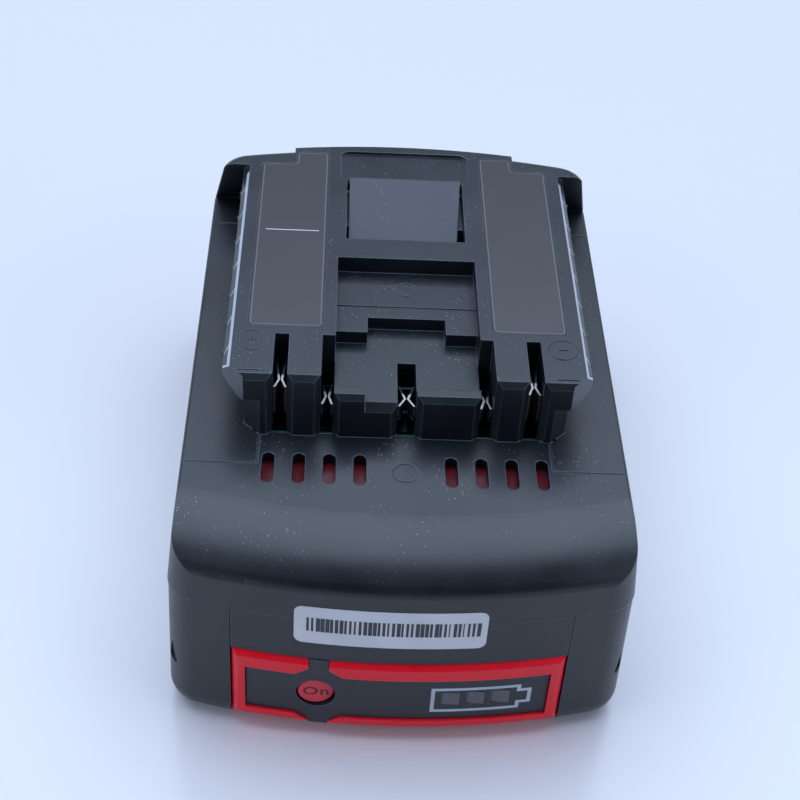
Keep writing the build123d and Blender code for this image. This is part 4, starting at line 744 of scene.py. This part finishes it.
@dataclass
class BarcodePrint:
    """Generic bars on the front sticker, drawn by a node tree with a fixed seed.

    Attributes:
        left: Left end of the bars.
        right: Right end of the bars.
        low: Lower end of each bar.
        high: Upper end of each bar.
        module: Width of the print's unit.
        spacing: Distance from bar to bar, in modules.
        shift: How far a bar may lie from its place, in modules.
        widths: Widths of the narrowest and the widest bar, in modules.
        sticker: How far the sticker's face stands out of the front face.
        seed: Seed of the bars' widths and gaps.
    """

    left: float = -15.1 * MM
    right: float = 12.9 * MM
    low: float = 26.6 * MM
    high: float = 29.8 * MM
    module: float = 0.26 * MM
    spacing: float = 2.9
    shift: float = 0.5
    widths: Point = (0.75, 2.7)
    sticker: float = 0.12 * MM
    seed: int = 7

    def tree(self) -> Tree:
        """Build the tree that sets bars of uneven width along a bowed face.

        Returns:
            The geometry node tree with its named inputs.
        """
        tree = bpy.data.node_groups.new("bars_on_a_bowed_face", "GeometryNodeTree")
        kinds = {
            "Count": "Int", "Module": "Float", "Bar Height": "Float", "Start": "Vector",
            "Face Radius": "Float", "Seed": "Int", "Ink": "Material",
        }
        for name, kind in kinds.items():
            tree.interface.new_socket(name, in_out="INPUT", socket_type=f"NodeSocket{kind}")
        tree.interface.new_socket("Geometry", in_out="OUTPUT", socket_type="NodeSocketGeometry")
        given = add_node(tree, "NodeGroupInput").outputs
        pitch = combine(tree, "MULTIPLY", given["Module"], self.spacing)
        step = feed(tree, "ShaderNodeCombineXYZ", {"X": pitch})
        row = {"Count": given["Count"], "Start Location": given["Start"], "Offset": step}
        places = feed(tree, "GeometryNodeMeshLine", row, mode="OFFSET")
        jitter = self.draw(tree, given["Seed"], (-self.shift, 0.0, 0.0), (self.shift, 0.0, 0.0))
        shift = {0: jitter, "Scale": given["Module"]}
        moved = feed(tree, "ShaderNodeVectorMath", shift, operation="SCALE")
        jittered = feed(tree, "GeometryNodeSetPosition", {"Geometry": places, "Offset": moved})
        sizes = {"Size X": given["Module"], "Size Y": given["Bar Height"]}
        bar = feed(tree, "GeometryNodeMeshGrid", {"Vertices X": 2, "Vertices Y": 2, **sizes})
        turn = {"Geometry": bar, "Rotation": (math.pi / 2, 0.0, 0.0)}
        upright = feed(tree, "GeometryNodeTransform", turn)
        narrowest, widest = self.widths
        width = self.draw(tree, given["Seed"], (narrowest, 1.0, 1.0), (widest, 1.0, 1.0))
        copies = {"Points": jittered, "Instance": upright, "Scale": width}
        bars = feed(tree, "GeometryNodeInstanceOnPoints", copies)
        real = feed(tree, "GeometryNodeRealizeInstances", {"Geometry": bars})
        where = feed(tree, "GeometryNodeInputPosition", {})
        x = feed(tree, "ShaderNodeSeparateXYZ", {"Vector": where})
        # A shallow arc falls back by the square of x over twice its radius
        fall = combine(tree, "DIVIDE", combine(tree, "MULTIPLY", x, x), given["Face Radius"])
        back = feed(tree, "ShaderNodeCombineXYZ", {"Y": combine(tree, "DIVIDE", fall, 2.0)})
        bent = feed(tree, "GeometryNodeSetPosition", {"Geometry": real, "Offset": back})
        printed = {"Geometry": bent, "Material": given["Ink"]}
        inked = feed(tree, "GeometryNodeSetMaterial", printed)
        add_node(tree, "NodeGroupOutput", {"Geometry": inked})
        return tree

    def draw(self, tree: Tree, seed: Socket, least: Place, most: Place) -> Socket:
        """Draw one random vector for each bar, between two limits along each axis."""
        inputs = {"Seed": seed, "Min": least, "Max": most}
        return feed(tree, "FunctionNodeRandomValue", inputs, data_type="FLOAT_VECTOR")

    def build(self, ink: Material) -> None:
        """Run the tree, keep its result as a plain mesh and let it ride.

        Args:
            ink: Material of the bars.
        """
        tree = self.tree()
        carrier = bpy.data.objects.new("bars_carrier", bpy.data.meshes.new("bars_carrier"))
        bpy.context.scene.collection.objects.link(carrier)
        modifier = carrier.modifiers.new("bars", "NODES")
        modifier.node_group = tree
        sticker_face_y = FRONT_FACE_Y - self.sticker - PRINT_LIFT
        values = {
            "Count": int((self.right - self.left) / (self.spacing * self.module)),
            "Module": self.module,
            "Bar Height": self.high - self.low,
            "Start": (self.left, sticker_face_y, (self.low + self.high) / 2),
            "Face Radius": FACE_RADIUS,
            "Seed": self.seed,
            "Ink": ink,
        }
        inputs = (item for item in tree.interface.items_tree if item.in_out == "INPUT")
        identifiers = {item.name: item.identifier for item in inputs}
        for name, value in values.items():
            modifier[identifiers[name]] = value
        depsgraph = bpy.context.evaluated_depsgraph_get()
        mesh = bpy.data.meshes.new_from_object(carrier.evaluated_get(depsgraph))
        carrier.modifiers.remove(modifier)
        bpy.data.objects.remove(carrier)
        dress(piece_from_mesh("barcode_bars", mesh, ink), Body.CASE)


@dataclass
class LabelRule:
    """The plain printed rule across the left rail label.

    Attributes:
        left: Left end of the rule.
        right: Right end of the rule.
        y: Place of the rule along the rail.
        stroke: Width of the rule.
    """

    left: float = -25.2 * MM
    right: float = -15.7 * MM
    y: float = 14.7 * MM
    stroke: float = 0.22 * MM

    def build(self, ink: Material) -> None:
        """Print the rule on the label's face and let it ride.

        Args:
            ink: Material of the print.
        """
        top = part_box("rail_label_left")[1].z + PRINT_LIFT
        pairs = printed_line([(self.left, self.y), (self.right, self.y)], self.stroke, closed=False)
        rule = print_on("label_rule", pairs, False, lambda x, y: (x, y, top), ink)
        dress(rule, Body.CASE)


@dataclass
class LabelEdge:
    """A painted highlight: the pale line just inside the cut edge of a rail label, where the film's
    edge catches the light.

    Attributes:
        label: Node of the label.
        inset: Distance of the line from the cut edge.
        stroke: Width of the line.
        upward: Least upward share of the normal of a face that belongs to the label's top.
        digits: Decimals of a metre to which shared corners are matched.
    """

    label: str
    inset: float = 0.3 * MM
    stroke: float = 0.17 * MM
    upward: float = 0.9
    digits: int = 7

    def outline(self) -> list[Point]:
        """Walk round the upper face of the label.

        Returns:
            The corners of that face in order, with its inside on their left.
        """
        node = frame["nodes"][self.label]
        corners = [node.matrix_world @ v.co for v in node.data.vertices]
        places = [tuple(round(c, self.digits) for c in corner) for corner in corners]
        top = max(z for _, _, z in places)
        steps = set()
        for face in node.data.polygons:
            ring = [places[i] for i in face.vertices]
            if face.normal.z > self.upward and all(top - z < PRINT_LIFT for _, _, z in ring):
                steps.update(zip(ring, ring[1:] + ring[:1]))
        following = {start: end for start, end in steps if (end, start) not in steps}
        corner = min(following)
        walk = []
        while corner in following:
            walk.append(corner[:2])
            corner = following.pop(corner)
        return walk

    def build(self, ink: Material) -> None:
        """Lay the line on the label and let it ride.

        Args:
            ink: Material of the painted highlight.
        """
        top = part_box(self.label)[1].z + PRINT_LIFT
        border = printed_line(self.outline(), 2 * self.inset, closed=True)
        inner = [pair[1] for pair in border[:-1]]
        pairs = printed_line(inner, self.stroke, closed=True)
        name = f"{self.label}_edge"
        line = print_on(name, pairs, True, lambda x, y: (x, y, top), ink)
        dress(line, Body.CASE)


@dataclass
class LipHighlight:
    """Painted highlights along the bevelled lips of the rail block, where the light glints on their
    edges and on the tops of the fins.

    Attributes:
        top: Height of the rail block's top.
        inner: Distance of the bevel's upper edge from the middle.
        drop: How far the bevel falls for each unit outwards.
        band: Width of the painted highlight band.
        reach: Distance of the fins' tips from the middle.
        rear: Rear end of the band.
        first_fin: Place of the front fin along Y.
        pitch: Spacing of the fins.
        fins: Number of fins on each side.
        fin: Width of a fin at its root.
        corner_run: How far the band's front corner runs back, in widths of a fin.
        tip_leads: How far the corners of a fin's tip lie in front of its root, in widths of a fin.
        lip: Distance of the lip's outer edge from the middle.
        lip_foot: Height of the lower corner of that edge.
        under: Distance of the lip's lowest corner from the middle.
        under_foot: Height of that corner.
        end_inner: Distance at which the slanted end meets the block's front.
        end_front: Place of the block's front along Y.
    """

    top: float = 54.0 * MM
    inner: float = 29.2 * MM
    drop: float = 1.6 / 1.3
    band: float = 0.5 * MM
    reach: float = 30.4 * MM
    rear: float = 33.0 * MM
    first_fin: float = -18.14 * MM
    pitch: float = 7.7 * MM
    fins: int = 7
    fin: float = 0.6 * MM
    corner_run: float = 1.8
    tip_leads: Point = (2.0, 1.4)
    lip: float = 30.5 * MM
    lip_foot: float = 51.15 * MM
    under: float = 27.9 * MM
    under_foot: float = 48.8 * MM
    end_inner: float = 26.9 * MM
    end_front: float = -26.14 * MM

    def lay(self, side: int, x: float, y: float) -> Place:
        """Place a point of the marks a hair above the bevel of the left (-1) or right (1) lip."""
        return side * (x + PRINT_LIFT), y, self.top - (x - self.inner) * self.drop + PRINT_LIFT

    def end_face(self, side: int, name: str, finish: Material) -> bpy.types.Object:
        """Cover the slanted front end of one lip with a painted sheen.

        Args:
            side: Minus one for the left lip, one for the right lip.
            name: Name of the piece.
            finish: Material of the painted sheen.

        Returns:
            The cover as one face that looks outwards and forwards.
        """
        low_edge = self.top - (self.lip - self.inner) * self.drop
        upper = [(self.end_inner, self.top), (self.inner, self.top), (self.lip, low_edge)]
        under = [(self.under, self.under_foot), (self.end_inner, self.under_foot)]
        corners = [*upper, (self.lip, self.lip_foot), *under]
        # The end slants back as far as it runs outwards
        slant_y = self.end_front - self.end_inner - PRINT_LIFT
        places = [(side * (x + PRINT_LIFT), slant_y + x, z) for x, z in corners]
        mesh = bpy.data.meshes.new(name)
        mesh.from_pydata(places, [], [tuple(range(len(places)))[:: -side]])
        return piece_from_mesh(name, mesh, finish)

    def build(self, finish: Material, end_finish: Material) -> None:
        """Lay the band, its fins and the end covers on both lips and let them ride.

        Args:
            finish: Material of the painted highlight.
            end_finish: Material of the painted sheen on the slanted ends.
        """
        roots = [self.first_fin + n * self.pitch for n in range(self.fins)]
        edge = self.inner + self.band
        corner = self.end_front + self.inner - self.end_inner
        tip = self.end_front + self.reach - self.end_inner
        for side, name in ((-1, "left"), (1, "right")):
            dress(self.end_face(side, f"lip_end_{name}", end_finish), Body.CASE)
            pairs = [
                ((self.reach, tip), (self.reach, tip + self.fin)),
                ((self.inner, corner), (edge, corner + self.corner_run * self.fin)),
            ]
            pairs += [((self.inner, y), (edge, y)) for y in (*roots, self.rear)]
            lay = partial(self.lay, side)
            dress(print_on(f"lip_highlight_band_{name}", pairs, False, lay, finish), Body.CASE)
            # Pale fins: painted highlights on the lit tops of the lip ribs
            for number, root in enumerate(roots, start=1):
                front, back = (root - lead * self.fin for lead in self.tip_leads)
                pairs = [
                    ((edge, root), (edge, root + self.fin)),
                    ((self.reach, front), (self.reach, back)),
                ]
                fin = print_on(f"lip_fin_{name}_{number}", pairs, False, lay, finish)
                dress(fin, Body.CASE)


@dataclass(frozen=True)
class SoftPanel:
    """One soft panel lamp of the studio.

    Attributes:
        name: Name of the lamp.
        azimuth: Direction of the lamp in degrees, from +Y towards +X.
        elevation: Its height above the floor in degrees.
        size: Its width and height in metres.
        radiance: Its brightness, where 1 is white.
        distance: Its distance from the pack in metres.
    """

    name: str
    azimuth: float
    elevation: float
    size: Point
    radiance: float
    distance: float = 1.4

    def hang(self, tint: str) -> None:
        """Hang the panel so that it faces the pack.

        Args:
            tint: Hex colour of the lamp's light.
        """
        lamp = bpy.data.lights.new(self.name, "AREA")
        lamp.shape = "RECTANGLE"
        lamp.size, lamp.size_y = self.size
        lamp.energy = self.radiance * math.pi * self.size[0] * self.size[1]
        lamp.color = linear(tint)[:3]
        outward = direction(self.azimuth, self.elevation)
        stand = bpy.data.objects.new(self.name, lamp)
        stand.location = outward * self.distance
        stand.rotation_euler = outward.to_track_quat("Z", "Y").to_euler()
        bpy.context.scene.collection.objects.link(stand)


@dataclass(frozen=True)
class Studio:
    """Pale floor and cool soft lamps: one wide overhead, dim ones at the sides, low ones in front.

    Attributes:
        floor_half: Half the side of the floor.
        floor_colour: Hex colour of the floor.
        floor_second_colour: Hex colour of its faint clouds.
        floor_cloud: Width of those clouds in millimetres.
        floor_roughness: Roughness of its glazing.
        floor_ior: Index of refraction of its glazing.
        backdrop_colour: Hex colour that the camera and mirrors see in the floor and all round.
        floor_glow: Share of that colour in the floor far from the pack; the rest keeps the shadow.
        contact_glow: Its share where the pack stands.
        contact_fade: Distance from the pack over which the share grows.
        tint: Hex colour of the lamps' light.
        panels: The soft panel lamps.
        room_strength: Brightness of the room as a light.
        backdrop_heights: Heights, as sines, at which the backdrop starts to fade and has ended.
        backdrop_depths: The same along Y: the backdrop stands behind and beside the pack only.
        ceiling_shade: Brightness in mirrors of what isn't backdrop, where 1 is white.
    """

    floor_half: float = 1.5
    floor_colour: str = "#d6d0d3"
    floor_second_colour: str = "#d0cbd0"
    floor_cloud: float = 250.0
    floor_roughness: float = 0.2
    floor_ior: float = 1.5
    backdrop_colour: str = "#d9ecff"
    floor_glow: float = 0.6
    contact_glow: float = 0.02
    contact_fade: float = 60 * MM
    tint: str = "#d3e5ff"
    panels: tuple[SoftPanel, ...] = (
        SoftPanel("overhead_panel", -6.0, 74.0, (2.2, 1.75), 3.4),
        SoftPanel("left_panel", -80.0, 35.0, (1.0, 1.0), 0.5),
        SoftPanel("right_panel", 80.0, 35.0, (1.0, 1.0), 0.5),
        SoftPanel("front_left_panel", -112.0, 22.0, (1.0, 0.6), 3.6),
        SoftPanel("front_right_panel", 112.0, 22.0, (1.0, 0.6), 3.6),
    )
    room_strength: float = 0.1
    backdrop_heights: Point = (0.1, 0.42)
    backdrop_depths: Point = (-0.1, -0.5)
    ceiling_shade: float = 0.06

    def seen_rays(self, tree: Tree) -> Socket:
        """Tell the rays that see the background from those that only light the pack.

        Args:
            tree: Node tree of the floor or the room.

        Returns:
            A socket that is one for camera, glossy and transmitted rays.
        """
        rays = add_node(tree, "ShaderNodeLightPath").outputs
        mirrors = combine(tree, "MAXIMUM", rays["Is Glossy Ray"], rays["Is Transmission Ray"])
        return combine(tree, "MAXIMUM", rays["Is Camera Ray"], mirrors)

    def distance_from_pack(self, tree: Tree, place: Socket) -> Socket:
        """Measure how far a point of the floor lies outside the pack's own outline.

        Args:
            tree: Node tree of the floor.
            place: Object coordinates.

        Returns:
            The distance in metres, which is zero below the pack.
        """
        corner = (CAD_BOX[1][0], CAD_BOX[1][1], 0.0)
        steps = {"ABSOLUTE": {}, "SUBTRACT": {1: corner}, "MAXIMUM": {1: (0.0, 0.0, 0.0)}}
        away = place
        for operation, other in steps.items():
            away = feed(tree, "ShaderNodeVectorMath", {0: away, **other}, operation=operation)
        length = add_node(tree, "ShaderNodeVectorMath", {0: away}, operation="LENGTH")
        return length.outputs["Value"]

    def floor(self) -> None:
        """Lay the floor: a lit board that keeps the shadow, with the backdrop's colour over it."""
        half = self.floor_half
        mesh = bpy.data.meshes.new("floor")
        corners = [(-half, -half, 0), (half, -half, 0), (half, half, 0), (-half, half, 0)]
        mesh.from_pydata(corners, [], [(0, 1, 2, 3)])
        material, tree = new_material("pale_matt_board")
        place = add_node(tree, "ShaderNodeTexCoord").outputs["Object"]
        cloud = noise(tree, place, self.floor_cloud, detail=2.0)
        tones = linear(self.floor_colour), linear(self.floor_second_colour)
        board = {"Roughness": self.floor_roughness, "IOR": self.floor_ior}
        board["Base Color"] = mix_colours(tree, cloud, *tones)
        lit = feed(tree, "ShaderNodeBsdfPrincipled", board)
        backdrop = {"Color": linear(self.backdrop_colour), "Strength": 1.0}
        pale = feed(tree, "ShaderNodeEmission", backdrop)
        away = self.distance_from_pack(tree, place)
        glow = fade(tree, away, (0.0, self.contact_fade), (self.contact_glow, self.floor_glow))
        share = combine(tree, "MULTIPLY", self.seen_rays(tree), glow)
        both = feed(tree, "ShaderNodeMixShader", {0: share, 1: lit, 2: pale})
        add_node(tree, "ShaderNodeOutputMaterial", {"Surface": both})
        piece_from_mesh("floor", mesh, material)

    def room(self) -> None:
        """Set the room: dim as a light, pale to the camera, to mirrors pale below a dim ceiling."""
        world = bpy.data.worlds.new("room")
        bpy.context.scene.world = world
        world.use_nodes = True
        tree = world.node_tree
        tree.nodes.clear()
        ahead = add_node(tree, "ShaderNodeTexCoord").outputs["Generated"]
        parts = add_node(tree, "ShaderNodeSeparateXYZ", {"Vector": ahead}).outputs
        spans = {"Z": self.backdrop_heights, "Y": self.backdrop_depths}
        masks = [
            fade(tree, parts[axis], span, (1.0, 0.0), interpolation_type="SMOOTHSTEP")
            for axis, span in spans.items()
        ]
        backdrop = combine(tree, "MULTIPLY", *masks)
        mirrored = fade(tree, backdrop, (0.0, 1.0), (self.ceiling_shade, 1.0))
        camera = add_node(tree, "ShaderNodeLightPath").outputs["Is Camera Ray"]
        colour = linear(self.backdrop_colour)
        dim, pale = (
            feed(tree, "ShaderNodeBackground", {"Color": colour, "Strength": strength})
            for strength in (self.room_strength, combine(tree, "MAXIMUM", mirrored, camera))
        )
        both = feed(tree, "ShaderNodeMixShader", {0: self.seen_rays(tree), 1: dim, 2: pale})
        add_node(tree, "ShaderNodeOutputWorld", {"Surface": both})

    def build(self) -> None:
        """Build the floor, the lamps and the room."""
        self.floor()
        for panel in self.panels:
            panel.hang(self.tint)
        self.room()
        log.info("studio has %d lamps", len(self.panels))


@dataclass
class PhotoCamera:
    """Camera at the photograph's own angle, found from the pack's corners in the picture.

    Attributes:
        place: Place of the lens in metres.
        yaw: Turn to the right from +Y in degrees.
        pitch: Tilt upwards in degrees.
        roll: Turn of the picture about the line of sight in degrees.
        lens: Focal length in millimetres.
        sensor: Width of the sensor in millimetres.
        nearest: Nearest distance that the camera sees, in metres.
    """

    place: Place = (-0.012952, -0.222457, 0.223147)
    yaw: float = 3.392
    pitch: float = -41.368
    roll: float = 4.137
    lens: float = 72.202
    sensor: float = 36.0
    nearest: float = 0.01

    def build(self) -> None:
        """Create the camera and make it the scene's own."""
        yaw, roll = math.radians(self.yaw), math.radians(self.roll)
        ahead = direction(self.yaw, self.pitch)
        level = Vector((math.cos(yaw), -math.sin(yaw), 0.0))
        up = level.cross(ahead)
        right = math.cos(roll) * level + math.sin(roll) * up
        above = math.cos(roll) * up - math.sin(roll) * level
        data = bpy.data.cameras.new("photo_camera")
        data.lens = self.lens
        data.sensor_width = self.sensor
        data.sensor_fit = "HORIZONTAL"
        data.clip_start = self.nearest
        camera = bpy.data.objects.new("photo_camera", data)
        turn = Matrix((right, above, -ahead)).transposed().to_4x4()
        camera.matrix_world = Matrix.Translation(Vector(self.place)) @ turn
        bpy.context.scene.collection.objects.link(camera)
        bpy.context.scene.camera = camera


def finish_cad_nodes(materials: dict[str, Material]) -> None:
    """Give every node of the frame the finish of its slot.

    Args:
        materials: The finishes by slot name.
    """
    for part in frame["record"]["subparts"]:
        node = frame["nodes"][part["node"]]
        node.data.materials.clear()
        node.data.materials.append(materials[part["material_slot"]])


def main() -> None:
    """Build the camera, the finishes, the marks and the studio in order."""
    logging.basicConfig(level=logging.INFO, format="%(name)s: %(message)s")
    bpy.context.scene.view_settings.view_transform = "Standard"
    PhotoCamera().build()
    materials = finishes()
    finish_cad_nodes(materials)
    GaugeMarks().build(materials)
    BarcodePrint().build(materials["black_ink"])
    LabelRule().build(materials["pale_ink"])
    for label in ("rail_label_left", "rail_label_right"):
        LabelEdge(label).build(materials["label_edge_highlight"])
    LipHighlight().build(materials["lip_highlight"], materials["lip_end_sheen"])
    Studio().build()


if __name__ == "__main__":
    main()
